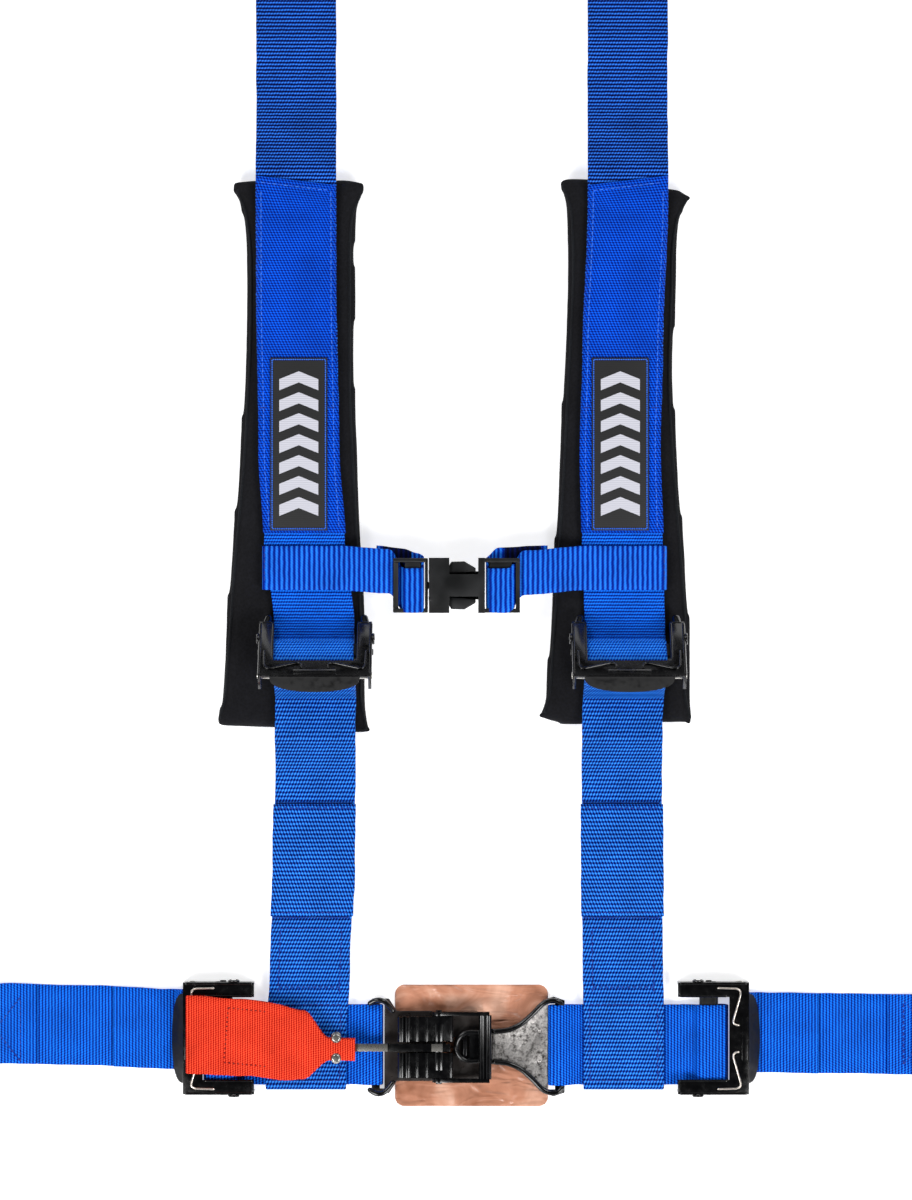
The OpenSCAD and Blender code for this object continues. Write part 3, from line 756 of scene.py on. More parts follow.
@dataclass
class Tube:
    """A round bar, wire or piping that follows a line, with rounded ends.

    Attributes:
        name: Name of the piece.
        line: Middle line in lap coordinates.
        radius: Radius, or radius at a share of the length.
        sides: Number of sides.
        step: Distance of the rings.
        passes: How often the line's corners are rounded.
        closed: Whether the end meets the start.
    """

    name: str
    line: Sequence[Vector]
    radius: float | Callable[[float], float]
    sides: int = 12
    step: float = 0.8
    passes: int = 3
    closed: bool = False

    def rings(self) -> tuple[list[Vector], int]:
        """The tube's vertices, and how many rings they make."""
        line = softened(resampled(self.line, self.step), self.passes)
        if self.closed:
            line = line[:-1]
        verts: list[Vector] = []
        count = len(line)
        side = UP
        for i, place in enumerate(line):
            before = line[i - 1] if self.closed or i else place
            after = line[(i + 1) % count] if self.closed or i < count - 1 else place
            ahead = (after - before).normalized()
            side = side - ahead * side.dot(ahead)
            side = side.normalized() if side.length > 1e-3 else ahead.orthogonal().normalized()
            other = ahead.cross(side)
            share = i / (count - 1)
            radius = self.radius(share) if callable(self.radius) else self.radius
            if not self.closed:
                end = min(i, count - 1 - i) * self.step
                if end < radius:
                    radius *= math.sqrt(max(0.08, 1 - (1 - end / radius) ** 2))
            for k in range(self.sides):
                angle = 2 * math.pi * k / self.sides
                verts.append(place + (side * math.cos(angle) + other * math.sin(angle)) * radius)
        return verts, count

    def build(self) -> bpy.types.Object:
        """Joins the rings to a closed mesh."""
        verts, count = self.rings()
        faces = skin(self.sides, count, self.closed)
        return new_object(self.name, [metres(v) for v in verts], faces)


@dataclass
class Seam:
    """A row of stitches that lies on pieces already made.

    Attributes:
        name: Name of the piece.
        rows: Lines of the seam, seen from above, in lap coordinates.
        on: Pieces that carry it.
        stitch: Length of a stitch.
        gap: Distance between two stitches.
        radius: Half the thickness of the thread.
        top: A height above every piece, from where the stitches are dropped.
        step: Distance of the places where the pieces are felt.
        drop: Largest step in height that a stitch may bridge.
    """

    name: str
    rows: Sequence[Sequence[Point]]
    on: Sequence[bpy.types.Object]
    stitch: float = 2.7
    gap: float = 0.9
    radius: float = 0.36
    top: float = 60.0
    step: float = 0.2
    drop: float = 2.0

    def ground(self) -> Callable[[float, float], Vector | None]:
        """A function that drops a point on to the pieces from above."""
        trees = []
        for obj in self.on:
            mesh = bmesh.new()
            mesh.from_mesh(obj.data)
            trees.append(BVHTree.FromBMesh(mesh))
            mesh.free()

        def drop(x: float, y: float) -> Vector | None:
            """The highest point of the pieces at a place, in metres."""
            start = metres(Vector((x, y, self.top)))
            hits = [hit for hit in (tree.ray_cast(start, -UP)[0] for tree in trees) if hit]
            return max(hits, key=lambda hit: hit.z) if hits else None

        return drop

    def build(self) -> bpy.types.Object:
        """Lays every stitch of every row as a slim capsule."""
        drop = self.ground()
        verts: list[Vector] = []
        faces: list[tuple[int, ...]] = []
        thread = self.radius * MM
        shares = ((0.0, 0.25), (0.12, 0.8), (0.5, 1.0), (0.88, 0.8), (1.0, 0.25))
        sides = 6
        for row in self.rows:
            line = resampled([Vector((*p, 0)) for p in row], self.step)
            per = max(2, round(self.stitch / self.step))
            for i in range(0, len(line) - per, per + round(self.gap / self.step)):
                a, b = (drop(p.x, p.y) for p in (line[i], line[i + per]))
                if a is None or b is None or abs(a.z - b.z) > self.drop * MM:
                    continue
                ahead = (b - a).normalized()
                side = ahead.cross(UP).normalized()
                lift = side.cross(ahead)
                base = len(verts)
                for share, size in shares:
                    middle = a.lerp(b, share) + lift * thread * (0.9 * size - 0.35)
                    for k in range(sides):
                        angle = 2 * math.pi * k / sides
                        out = side * math.cos(angle) + lift * math.sin(angle)
                        verts.append(middle + out * thread * size)
                faces += [tuple(base + k for k in face) for face in skin(sides, len(shares))]
        return new_object(self.name, verts, faces)


def sewn(
    name: str, rows: Sequence[Sequence[Point]], on: Sequence[bpy.types.Object], thread: Finish,
    slot: str = "webbing_blue", body: str = "harness", **stitch: float,
) -> None:
    """Makes a seam and gives it its body.

    Args:
        name: Name of the seam.
        rows: Its lines, seen from above.
        on: Pieces that carry it.
        thread: What it is sewn with.
        slot: Not used.
        body: Body that it moves with.
        stitch: Sizes of the seam that differ from the usual ones.
    """
    placed(Seam(name, rows, on, **stitch).build(), body, thread)


def crossed(a: Point, b: Point, c: Point, d: Point) -> list[list[Point]]:
    """Rows of a seam from a to b and from c to d, with a cross between them."""
    return [[a, b], [c, d], [a, d], [b, c]]


@dataclass
class HardPart:
    """A pressed, cast or moulded piece: the frame's own shape with its edges rounded.

    Attributes:
        node: CAD node that it stands for, and takes its shape from.
        edge: Radius of the rounded edges.
        crease: Smallest angle, in degrees, of an edge that is rounded.
        segments: Number of faces across a rounded edge.
        cuts: Places along x where faces are parted, so that two finishes can meet there.
        weld: Vertices nearer than this are one.
        flat: Faces that meet at a smaller angle, in degrees, are one.
        smooth: Edges with a larger angle, in degrees, look sharp.
    """

    node: str
    edge: float = 0.45
    crease: float = 35.0
    segments: int = 2
    cuts: Sequence[float] = ()
    weld: float = 0.002
    flat: float = 1.5
    smooth: float = 32.0

    def build(self) -> bpy.types.Object:
        """Copies the node's mesh, clears its flat faces, bevels its edges and parts its faces."""
        mesh = bmesh.new()
        mesh.from_mesh(frame["nodes"][self.node].data)
        bmesh.ops.remove_doubles(mesh, verts=mesh.verts, dist=self.weld * MM)
        bmesh.ops.dissolve_limit(
            mesh, angle_limit=math.radians(self.flat), verts=mesh.verts, edges=mesh.edges
        )
        sharp = [
            e for e in mesh.edges
            if len(e.link_faces) == 2 and e.calc_face_angle(0) > math.radians(self.crease)
        ]
        bmesh.ops.bevel(
            mesh, geom=sharp, offset=self.edge * MM, segments=self.segments, profile=0.6,
            affect="EDGES", clamp_overlap=True,
        )
        for x in self.cuts:
            bmesh.ops.bisect_plane(
                mesh, geom=[*mesh.verts, *mesh.edges, *mesh.faces], plane_co=(x * MM, 0, 0),
                plane_no=(1, 0, 0),
            )
        data = bpy.data.meshes.new(self.node + "_finished")
        mesh.to_mesh(data)
        mesh.free()
        data.shade_smooth()
        data.set_sharp_from_angle(angle=math.radians(self.smooth))
        obj = bpy.data.objects.new(self.node + "_finished", data)
        bpy.context.scene.collection.objects.link(obj)
        return obj


def body_of(node: str) -> str:
    """The body that a CAD node rides on."""
    return frame["nodes"][node]["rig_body"]


def hard(node: str, finish: Finish, edge: float = 0.45) -> bpy.types.Object:
    """Makes a rounded copy of a CAD node and puts it in the node's place."""
    return placed(HardPart(node, edge).build(), body_of(node), finish, (node,))


# --- sub-assemblies -------------------------------------------------------------------------------


@dataclass
class Adjuster:
    """A sliding-bar adjuster: pressed frame, slide bar, fixed rod and two wire springs.

    Its own axes are u along the strap to the lip, v across and w up.

    Attributes:
        side: Half of the harness.
        at_shoulder: Whether it stands on a pad; if not, it lies on the lap belt.
        rail_l, rail_h: Length and height of the rails.
        rail_out, rail_in: Their outer and inner faces, from the middle.
        slide_w, slide_h: Width and height of the slide bar.
        slide_u, slide_mid: Place of its middle.
        travel: How far it moves either way.
        rod_u, rod_w, rod_r: Place and radius of the rod.
        tilt: How far a shoulder adjuster leans.
        top_y, low_z: Where a shoulder adjuster's own axes start.
        lap_x, lap_y, shoulder_x: Where the adjusters lie.
    """

    side: Side
    at_shoulder: bool
    rail_l: float = 45.0
    rail_h: float = 13.0
    rail_out: float = 35.4
    rail_in: float = 33.4
    slide_w: float = 12.0
    slide_h: float = 5.6
    slide_u: float = 19.8
    slide_mid: float = 6.3
    travel: float = 2.5
    rod_u: float = 39.4
    rod_w: float = 6.6
    rod_r: float = 2.2
    tilt: float = math.radians(42)
    top_y: float = 254.0
    low_z: float = 15.3
    lap_x: Point = (-131.5, 136.5)
    lap_y: float = -1.0
    shoulder_x: Point = (-92.0, 104.5)

    @property
    def word(self) -> str:
        """Which end of the harness it is on."""
        return "shoulder" if self.at_shoulder else "lap"

    def plane(self, p: Point) -> Point:
        """Turns u and w to y and z at the shoulder, or to the distance and z at the lap."""
        u, w = p
        if not self.at_shoulder:
            return abs(self.side.of(self.lap_x)) + u, w
        return (
            self.top_y - u * math.cos(self.tilt) + w * math.sin(self.tilt),
            self.low_z + u * math.sin(self.tilt) + w * math.cos(self.tilt),
        )

    def place(self, u: float, v: float, w: float) -> Vector:
        """Turns a place in the adjuster's own axes to lap coordinates."""
        a, b = self.plane((u, w))
        if self.at_shoulder:
            return Vector((self.side.of(self.shoulder_x) + v, a, b))
        return Vector((self.side.value * a, self.lap_y + v, b))

    def over_slide(self) -> list[Point]:
        """The strap's way over the slide bar and back below it, in u and w."""
        start = self.slide_u - self.slide_w / 2
        top = self.slide_mid + self.slide_h / 2 + LAY_GAP + WEB_T / 2
        low = self.slide_mid - self.slide_h / 2 - LAY_GAP - WEB_T / 2
        bend = (top - low) / 2
        slack = 0.8 if self.at_shoulder else 2.3
        far = start + self.slide_w + self.travel + LAY_GAP + slack + WEB_T / 2
        return [
            (8, low + PITCH + 0.5), (start - 2.3, low + PITCH + 1.6), (start - 0.6, top - 0.8),
            (start + 2.5, top), *arc((far - bend, (top + low) / 2), bend, 90, -90, 14),
            (start - 4, low - 0.1), (2, low - 0.2),
        ]

    def round_rod(self, start: float, end: float) -> list[Point]:
        """The sewn loop round the fixed rod, in u and w."""
        return arc((self.rod_u, self.rod_w), self.rod_r + LAY_GAP + WEB_T / 2, start, end, 14)

    def spring(self, side: int) -> list[Vector]:
        """Middle line of one wire spring, from its hook at the rail to its foot on the plate."""
        plate = self.rail_l - 12.5
        top = self.rail_h + 0.65
        way = [
            (self.slide_u + 5, self.rail_in - 1.5), (self.rail_l - 8, self.rail_in - 1.8),
            (self.rail_l - 5.6, self.rail_in - 3), (self.rail_l - 5.4, self.rail_in - 5.5),
            (plate + 2.6, 12.0), (plate + 2.4, 10.0), (plate + 4, 8.6), (plate + 6.5, 8.4),
        ]
        return [self.place(u, side * v, top) for u, v in way]

    def own_u(self, place: Vector) -> float:
        """Distance along the adjuster's own axis of a place in metres."""
        x, y, z = place.x / MM, place.y / MM + Y_MID, place.z / MM
        if not self.at_shoulder:
            return self.side.value * x - abs(self.side.of(self.lap_x))
        return (self.top_y - y) * math.cos(self.tilt) + (z - self.low_z) * math.sin(self.tilt)

    def beads(self) -> list[tuple[list[Vector], float]]:
        """Rolled edges of the rails, and the ears at the upper ends of a shoulder adjuster."""
        top, inner = self.rail_h - 0.55, self.rail_in - 6.6
        rows = []
        for side in (-1, 1):
            outer = [(0.8, self.rail_out - 0.7), (self.rail_l - 0.8, self.rail_out - 0.7)]
            lip = [(0.8, inner), (self.rail_l - 13.5, inner)]
            across = [(0.9, self.rail_out - 1.2), (0.9, inner + 0.4)]
            for way, radius in ((outer, 1.05), (lip, 0.85), (across, 0.9)):
                rows.append(([self.place(u, side * v, top) for u, v in way], radius))
            if self.at_shoulder:
                ear = [(5.0, self.rail_out - 4.0, 9.5), (-1.5, self.rail_out - 4.4, 10.5),
                       (-7.0, self.rail_out - 5.6, 11.0)]
                rows.append(([self.place(u, side * v, w) for u, v, w in ear], 2.6))
        return rows

    def eye(self, side: int) -> list[Vector]:
        """Middle line of the wire eye that holds a spring's end outside its rail."""
        ring = arc((self.slide_u - 7.0, self.rail_h - 2.0), 3.0, -60, 250, 16)
        out = self.rail_out + 0.9
        bow = 0.012
        return [self.place(u, side * (out + bow * (w - self.rail_h) ** 2), w) for u, w in ring]

    def build(self) -> None:
        """Makes the adjuster's pieces."""
        frame_node, slide, rod, springs = (
            f"{self.word}_{word}_{self.side.word}" for word in ("frame", "slide", "rod", "springs")
        )
        body = body_of(frame_node)
        pressed = HardPart(frame_node, 0.5).build()
        lip = self.rail_l + 0.4
        faced(pressed, (BLACK_STEEL, LIP_STEEL), lambda face: self.own_u(face.center) > lip)
        placed(pressed, body, BLACK_STEEL, (frame_node,))
        beads = [Tube("beads", line, r, sides=12, step=0.6).build() for line, r in self.beads()]
        placed(join(beads, frame_node + "_rolled_edges"), body, BLACK_STEEL)
        hard(slide, SATIN_STEEL, 0.5)
        hard(rod, WORN_STEEL_AND_GLINT, 0.4)
        wires = [Tube(springs, self.spring(s), 0.7, sides=10, step=0.5).build() for s in (-1, 1)]
        wire = BLACK_STEEL if self.at_shoulder else ZINC_WIRE
        wires = join(wires, springs + "_finished")
        placed(wires, body_of(springs), wire, (springs,))
        eyes = [Tube("eyes", self.eye(s), 0.8, sides=10, step=0.5).build() for s in (-1, 1)]
        placed(join(eyes, springs + "_eyes"), body, BLACK_STEEL)


def anchor_turn(reach: float) -> list[Point]:
    """The belt's way round an anchor plate's bar and back, from its length and z."""
    return [
        (reach - 3, LOW_Z), *reversed(arc((reach, ANCHOR_Z), ANCHOR_LOOP, 90, -90, 12)),
        (reach - 12, LOW_Z + PITCH + 1.4), (reach - 30, LOW_Z + PITCH),
    ]


def webbing(
    node: str, line: Sequence[Vector], across: Vector, finish: Finish,
    slot: str = "webbing_blue", body: str = "harness", **shape: Any,
) -> bpy.types.Object:
    """Makes a strap for a node and gives it its body.

    Args:
        node: Node that it replaces.
        line: Its middle line.
        across: Direction of its width.
        finish: What it is woven from.
        slot: Not used.
        body: Body that it moves with.
        shape: What of its form differs from the main webbing.

    Returns:
        The strap.
    """
    strap = Ribbon(node + "_webbing", line, across, **shape).build()
    return placed(strap, body, finish, (node,))


def up_strap(points: Sequence[Point], x: float) -> list[Vector]:
    """A middle line in the plane of a shoulder strap, from y and z."""
    return [Vector((x, y, z)) for y, z in points]


def lap_strap(points: Sequence[Point], y: float, side: Side) -> list[Vector]:
    """A middle line in the plane of a lap strap, from the distance to the middle and z."""
    return [Vector((side.value * x, y, z)) for x, z in points]


@dataclass
class ShoulderSide:
    """One shoulder: adjustable strap, pad, cover panel, label, lower strap and adjuster.

    Attributes:
        side: Half of the harness.
        reach: Where the upper strap turns in its anchor plate.
        pad_low, pad_l, waist: Lower end, length and narrowest width of the pad.
        strap_x, pad_x, lower_x: Middles of the upper strap, the pad and the lower strap.
        panel_w, panel_y: Width of the cover panel and its two ends.
        patch_y, patch: Middle, width and length of the label.
        lap_y: Middle of the lap belt, where the lower strap's loop lies.
        strap_drift, lower_drift: How far the straps lie beside their even lines, by y.
        pad_lean: How far the pad lies beside its middle, by a share of its length.
        pad_top, pad_foot: How far its ends rise, by a share of its half width.
        pieces: Finished pieces that others lie on.
    """

    side: Side
    reach: float = 730.0
    pad_low: float = 195.0
    pad_l: float = 349.0
    waist: float = 71.0
    strap_x: Point = (-98.0, 101.0)
    pad_x: Point = (-103.5, 99.5)
    lower_x: Point = (-99.7, 103.3)
    panel_w: float = 50.4
    panel_y: Point = (319.5, 542.0)
    patch_y: float = 374.5
    patch: Point = (36.0, 109.0)
    lap_y: float = -5.5
    strap_drift: Knots = (
        ((215, 4.6), (262, 4.6), (314, -1.4), (372, -4.9), (470, -6.6), (655, -7.2), (705, 0)),
        ((215, 2.6), (262, 1.6), (314, 0.2), (372, -1.2), (430, 0.3), (530, 3.8), (655, 4.2),
         (705, 0)),
    )
    lower_drift: Knots = (
        ((0, 0.8), (40, 3.2), (110, 5.8), (180, 7.0), (240, 7.4)),
        ((0, -0.8), (40, -1.2), (110, -2.0), (200, -2.0), (240, -0.5)),
    )
    pad_lean: Knots = (
        ((0, -3.6), (0.2, -1.6), (0.55, 0.2), (0.8, 1.4), (1.0, 0.4)),
        ((0, -1.6), (0.2, 0.4), (0.6, -0.6), (0.85, 2.0), (1.0, 3.6)),
    )
    pad_top: Knots = (
        ((-1, -3.0), (0.62, 4.5), (1, -5.0)), ((-1, 0.5), (0.2, -1.0), (1, -9.0)),
    )
    pad_foot: Knots = (
        ((-1, 1.0), (0.5, 0.5), (1, -5.0)), ((-1, 5.0), (-0.6, -1.0), (1, 2.5)),
    )
    pieces: dict[str, bpy.types.Object] = field(default_factory=dict)

    @property
    def adjuster(self) -> Adjuster:
        """The adjuster on this shoulder."""
        return Adjuster(self.side, True)

    def named(self, piece: str) -> str:
        """The name of this side's node."""
        return f"{piece}_{self.side.word}"

    def drift(self, place: Vector) -> float:
        """How far the upper strap lies beside its even line."""
        return between(place.y, self.side.of(self.strap_drift))

    def middle(self, y: float) -> float:
        """Middle of the upper strap at a height."""
        return self.side.of(self.strap_x) + between(y, self.side.of(self.strap_drift))

    def build_strap(self) -> None:
        """The adjustable strap, from its tail in the anchor loop to the one under the bar."""
        top = self.pad_low + self.pad_l
        adjuster = self.adjuster
        line = [
            (self.reach - 70, LOW_Z), *anchor_turn(self.reach), (self.reach - 90, LOW_Z + PITCH),
            (top + 45, LOW_Z + PITCH), (top + 5, STRAP_Z),
            (adjuster.top_y + 8, STRAP_Z), *(adjuster.plane(p) for p in adjuster.over_slide()),
        ]
        node = self.named("shoulder_strap")
        strap = Ribbon(
            node + "_webbing", up_strap(line, self.side.of(self.strap_x)), ALONG_X, sway=self.drift
        ).build()
        # One blue in three copies along the strap: painted shade above the panel's middle, the
        # plain copy below, painted highlight on the roll over the slide bar.
        ends = (sum(self.panel_y) / 2, adjuster.top_y - 2)
        faced(
            strap, (UPPER_SHADE_WEBBING, BLUE_WEBBING, ROLL_HIGHLIGHT_WEBBING),
            lambda face: sum(face.center.y / MM + Y_MID < end for end in ends),
        )
        self.pieces["strap"] = placed(strap, "harness", UPPER_SHADE_WEBBING, (node,))

    def build_lower(self) -> None:
        """The lower strap with its loops round the rod and the lap belt, and the sleeve over it."""
        adjuster = self.adjuster
        on_pad = PAD_T + LAY_GAP + 0.2 + WEB_T / 2
        drop = adjuster.plane((adjuster.rod_u, adjuster.rod_w))[0] - 13
        half = WEB_W / 2 - 0.6
        end_z = LOW_Z + 3 * PITCH + 1.2
        line = [
            (120, LOW_Z + PITCH + 0.6), (self.pad_low - 24, LOW_Z + PITCH + 0.6),
            (self.pad_low - 5, on_pad), (drop + 2.6, on_pad),
            *(adjuster.plane(p) for p in reversed(adjuster.round_rod(-16, 164))),
            (drop - 1, on_pad + PITCH + 0.2), (self.pad_low - 6, on_pad + PITCH),
            (self.pad_low - 26, LOW_Z + 2 * PITCH + 1.6), (120, LOW_Z + 2 * PITCH + 1),
            (self.lap_y + half + 22, end_z - 2.5), (self.lap_y + half, end_z),
            *arc((self.lap_y - half, (end_z + LOW_Z) / 2), (end_z - LOW_Z) / 2, 90, 270, 10),
            (self.lap_y + half + 5, LOW_Z), (100, LOW_Z),
        ]
        x = self.side.of(self.lower_x)
        knots = self.side.of(self.lower_drift)
        strap = webbing(
            self.named("lower_strap"), up_strap(line, x), ALONG_X, DOTTED_WEBBING,
            sway=lambda p: between(p.y, knots),
        )
        top = LOW_Z + 3 * PITCH + 2
        sleeve_line = [(76, top), (84, top + 0.6), (112, top + 2.2), (140, top + 0.6), (147, top)]
        sleeve = webbing(
            self.named("keeper_sleeve"), up_strap(sleeve_line, x), ALONG_X, DOTTED_WEBBING,
            width=WEB_W + 1.6, sway=lambda p: between(p.y, knots), passes=40,
        )
        self.stitch_lower(strap, sleeve, x, knots)

    def stitch_lower(
        self, strap: bpy.types.Object, sleeve: bpy.types.Object, x: float, knots: Sequence[Point]
    ) -> None:
        """Box seams that close the sleeve and hold the loop round the lap belt."""

        def cross(y: float, reach: float) -> list[Point]:
            middle = x + between(y, knots)
            return [(middle - reach, y), (middle + reach, y)]

        def up(low: float, high: float, off: float) -> list[Point]:
            return [(x + between(y, knots) + off, y) for y in (low, (low + high) / 2, high)]

        half = WEB_W / 2 - 4
        rows = [
            cross(144.5, half + 2), cross(78.5, half + 2), cross(20, half), cross(-28, half),
            up(-28, 20, -half), up(-28, 20, half), up(28, 70, -half + 2), up(28, 70, half - 2),
            cross(68, half - 2), cross(31, half - 2),
        ]
        sewn(self.named("lower_strap") + "_stitches", rows, (strap, sleeve), DARK_THREAD)
        cut = [cross(147.6, half + 3.5), cross(75.2, half + 3.5)]
        sewn(
            self.named("keeper_sleeve") + "_bartack", cut, (strap, sleeve), DARK_THREAD,
            stitch=1.6, gap=0.2, radius=0.5,
        )

    def pad_half(self, k: float) -> float:
        """Half the pad's width at a share of its length, counted from its lower end."""
        low = 5.75 * (1 + math.cos(math.pi * min(1.0, k / 0.75)))
        flare = 4.0 * max(0.0, 1 - min(k, 1 - k) / 0.05) ** 1.3
        return self.waist / 2 + low + flare + 5 * max(0.0, (k - 0.86) / 0.14) ** 1.6

    def pad_middle(self, k: float) -> float:
        """Middle of the pad at a share of its length."""
        return self.side.of(self.pad_x) + between(k, self.side.of(self.pad_lean))

    def pad_lift(self, share: float, k: float) -> float:
        """How far the pad's ends rise or drop at a share of its half width."""
        top = between(share, self.side.of(self.pad_top)) * max(0.0, (k - 0.92) / 0.08)
        return top + between(share, self.side.of(self.pad_foot)) * max(0.0, 1 - k / 0.06)

    def pad_shell(self) -> bpy.types.Object:
        """A closed form a little smaller than the pad, ready to be blown up."""
        rows, sides, inset = 70, 20, 0.4
        verts: list[Vector] = []
        for i in range(rows + 1):
            k = i / rows
            half = self.pad_half(k) - inset
            y = self.pad_low + inset + (self.pad_l - 2 * inset) * k
            for j in range(sides):
                angle = 2 * math.pi * j / sides
                c, s = math.cos(angle), math.sin(angle)
                x = math.copysign(abs(c) ** 0.35, c) * half
                z = PAD_T / 2 + math.copysign(abs(s) ** 0.6, s) * (PAD_T / 2 - 2.0)
                y_here = y + self.pad_lift(x / half, k)
                verts.append(metres(Vector((self.pad_middle(k) + x, y_here, z))))
        return new_object(self.named("pad_cover") + "_sewn", verts, skin(sides, rows + 1))

    def blown(self, obj: bpy.types.Object) -> None:
        """Fills the shell by cloth simulation; the cloth gives way outward only, up to a cap."""
        cap, voxel, frames = 1.6 * MM, 4.5 * MM, 20
        remesh = obj.modifiers.new("voxels", "REMESH")
        remesh.mode, remesh.voxel_size = "VOXEL", voxel
        applied(obj)
        faced_outward(obj)
        rest = [(v.co.copy(), v.normal.copy()) for v in obj.data.vertices]
        cloth = obj.modifiers.new("fill", "CLOTH")
        cloth.settings.use_pressure = True
        cloth.settings.uniform_pressure_force = 4.0
        cloth.settings.effector_weights.gravity = 0.0
        cloth.settings.tension_stiffness = 20
        cloth.point_cache.frame_start, cloth.point_cache.frame_end = 1, frames
        for number in range(1, frames + 1):
            bpy.context.scene.frame_set(number)
        applied(obj)
        bpy.context.scene.frame_set(1)
        for vertex, (was, out) in zip(obj.data.vertices, rest):
            vertex.co = was + out * min(cap, max(0.0, (vertex.co - was).dot(out)))
        smooth = obj.modifiers.new("smooth", "SUBSURF")
        smooth.levels = smooth.render_levels = 1
        applied(obj)
        obj.data.shade_smooth()

    def dent(self, obj: bpy.types.Object) -> None:
        """Rests the pad on the surface and under its strap, and adds its soft creases."""
        strap_half = WEB_W / 2 + 1.5
        for vertex in obj.data.vertices:
            x, y, z = (c / MM for c in vertex.co)
            y += Y_MID
            off = abs(x - self.middle(y))
            crease = 0.5 * noise.noise(Vector((x / 16, y / 30, z / 12)))
            crease += 0.25 * noise.noise(Vector((x / 6, y / 9, 4.2)))
            z += crease
            rise = 1.6 * min(1.0, max(0.0, off - strap_half) / 8)
            vertex.co.x += 0.4 * crease * MM
            vertex.co.z = min(max(z, 0.15), PAD_T + 0.1 + rise) * MM

    def build_pad(self) -> None:
        """The padded cover with its foam, and the bound seam round its rim."""
        pad = self.pad_shell()
        self.blown(pad)
        self.dent(pad)
        nodes = (self.named("pad_cover"), self.named("pad_core"))
        placed(pad, "harness", PAD_CLOTH, nodes)
        inset, steps = 4.5, 60
        shares = [i / steps for i in range(steps + 1)]

        def rim(k: float, side: int) -> Point:
            reach = self.pad_half(k) - inset
            y = self.pad_low + inset + (self.pad_l - 2 * inset) * k
            return self.pad_middle(k) + side * reach, y + self.pad_lift(side, k)

        loop = [rim(k, 1) for k in shares] + [rim(k, -1) for k in reversed(shares)]
        drop = Seam("rim", (), (pad,)).ground()
        line = [drop(x, y) for x, y in [*loop, loop[0]]]
        path = [Vector((p.x / MM, p.y / MM + Y_MID, p.z / MM + 0.15)) for p in line if p]
        name = self.named("pad_cover") + "_piping"
        piping = Tube(name, path, 0.95, sides=8, step=1.2, passes=10, closed=True).build()
        placed(piping, "harness", PIPING)

    def build_panel(self) -> None:
        """The cover panel, crowned over the strap, with the seams that hold it."""
        low, high = self.panel_y
        rows, columns = 220, 20
        bottom = OVER_Z - WEB_T / 2 + 0.05
        verts: list[Vector] = []
        maps: list[Point] = []
        for i in range(rows + 1):
            k = i / rows
            y = low + (high - low) * k
            half = self.panel_w / 2 + 0.8 * (1 - min(1.0, k / 0.45))
            puff = 2.6 * math.sin(math.pi * min(1.0, max(0.0, (k - 0.52) / 0.46)))
            for j in range(columns + 1):
                v = 2 * j / columns - 1
                slant = self.side.value * 3.0 * v * max(0.0, (k - 0.9) / 0.1)
                z = bottom + 0.62 + puff * (1 - v ** 4) - 1.1 * max(0.0, abs(v) - 0.93) / 0.07
                z += 0.1 * noise.noise(Vector((v * 3, y / 14, 1.3)))
                verts.append(metres(Vector((self.middle(y) + v * half, y + slant - 1, z))))
                maps.append((y * MM, v * half * MM))
        node = self.named("cover_panel")
        panel = new_object(node + "_cloth", verts, grid(rows, columns))
        mapped(panel, maps)
        thickened(panel, 0.6)
        placed(panel, "harness", BLUE_PANEL, (node,))
        self.stitch_panel(panel, node)

    def stitch_panel(self, panel: bpy.types.Object, node: str) -> None:
        """The long seams and the slanted end seam, and the short ones beside the label."""
        low, high = self.panel_y
        inset = self.panel_w / 2 - 3.2
        middle = self.middle

        def up(off: float, start: float, end: float) -> list[Point]:
            steps = 12
            heights = [start + (end - start) * i / steps for i in range(steps + 1)]
            return [(middle(y) + off, y) for y in heights]

        tip = high - 5
        slant = 2.6 * self.side.value
        rows = [
            up(-inset, low + 3, tip), up(inset, low + 3, tip),
            [(middle(tip) - inset, tip - slant), (middle(tip) + inset, tip + slant)],
        ]
        sewn(node + "_stitches", rows, (panel,), BLUE_THREAD, "cover_weave")
        y = low + 78
        x, near, far = middle(y), 19, inset + 2
        rows = [[(x - far, y), (x - near, y)], [(x + near, y), (x + far, y)]]
        sewn(
            node + "_cross_seam", rows, (panel,), DARK_THREAD, "cover_weave",
            stitch=1.8, gap=0.3, radius=0.45,
        )

    def build_label(self) -> None:
        """The label patch: satin ground, sewn rim and a plain column of chevron bars."""
        node = self.named("label_patch")
        shift = self.middle(self.patch_y) - self.side.of(self.strap_x)
        patch = HardPart(node, 0.35).build()
        for vertex in patch.data.vertices:
            vertex.co.x += shift * MM
        placed(patch, "harness", LABEL_CLOTH, (node,))
        half_w, half_l = self.patch[0] / 2 - 1.2, self.patch[1] / 2 - 1.2
        x, y = self.middle(self.patch_y), self.patch_y
        corners = [(x - half_w, y - half_l), (x + half_w, y - half_l), (x + half_w, y + half_l),
                   (x - half_w, y + half_l), (x - half_w, y - half_l)]
        rows = list(zip(corners, corners[1:]))
        sewn(
            node + "_rim", rows, (patch,), BLUE_THREAD, "label_fabric",
            stitch=1.3, gap=0.2, radius=0.42,
        )
        top = max(v.co.z for v in patch.data.vertices) + 0.02 * MM
        verts: list[Vector] = []
        faces: list[tuple[int, ...]] = []
        bars, bar, slope, apart, foot, thick = 7, 7.0, 5.0, 13.2, 8.0, 0.14 * MM
        reach = half_w - 4.5
        for n in range(bars):
            start = y - half_l + foot + n * apart
            base = len(verts)
            outline = [
                (-reach, start), (0, start + slope), (reach, start), (reach, start + bar),
                (0, start + slope + bar), (-reach, start + bar),
            ]
            flat = [metres(Vector((x + px, py, 0))) for px, py in outline]
            for height in (top, top + thick):
                verts += [Vector((p.x, p.y, height)) for p in flat]
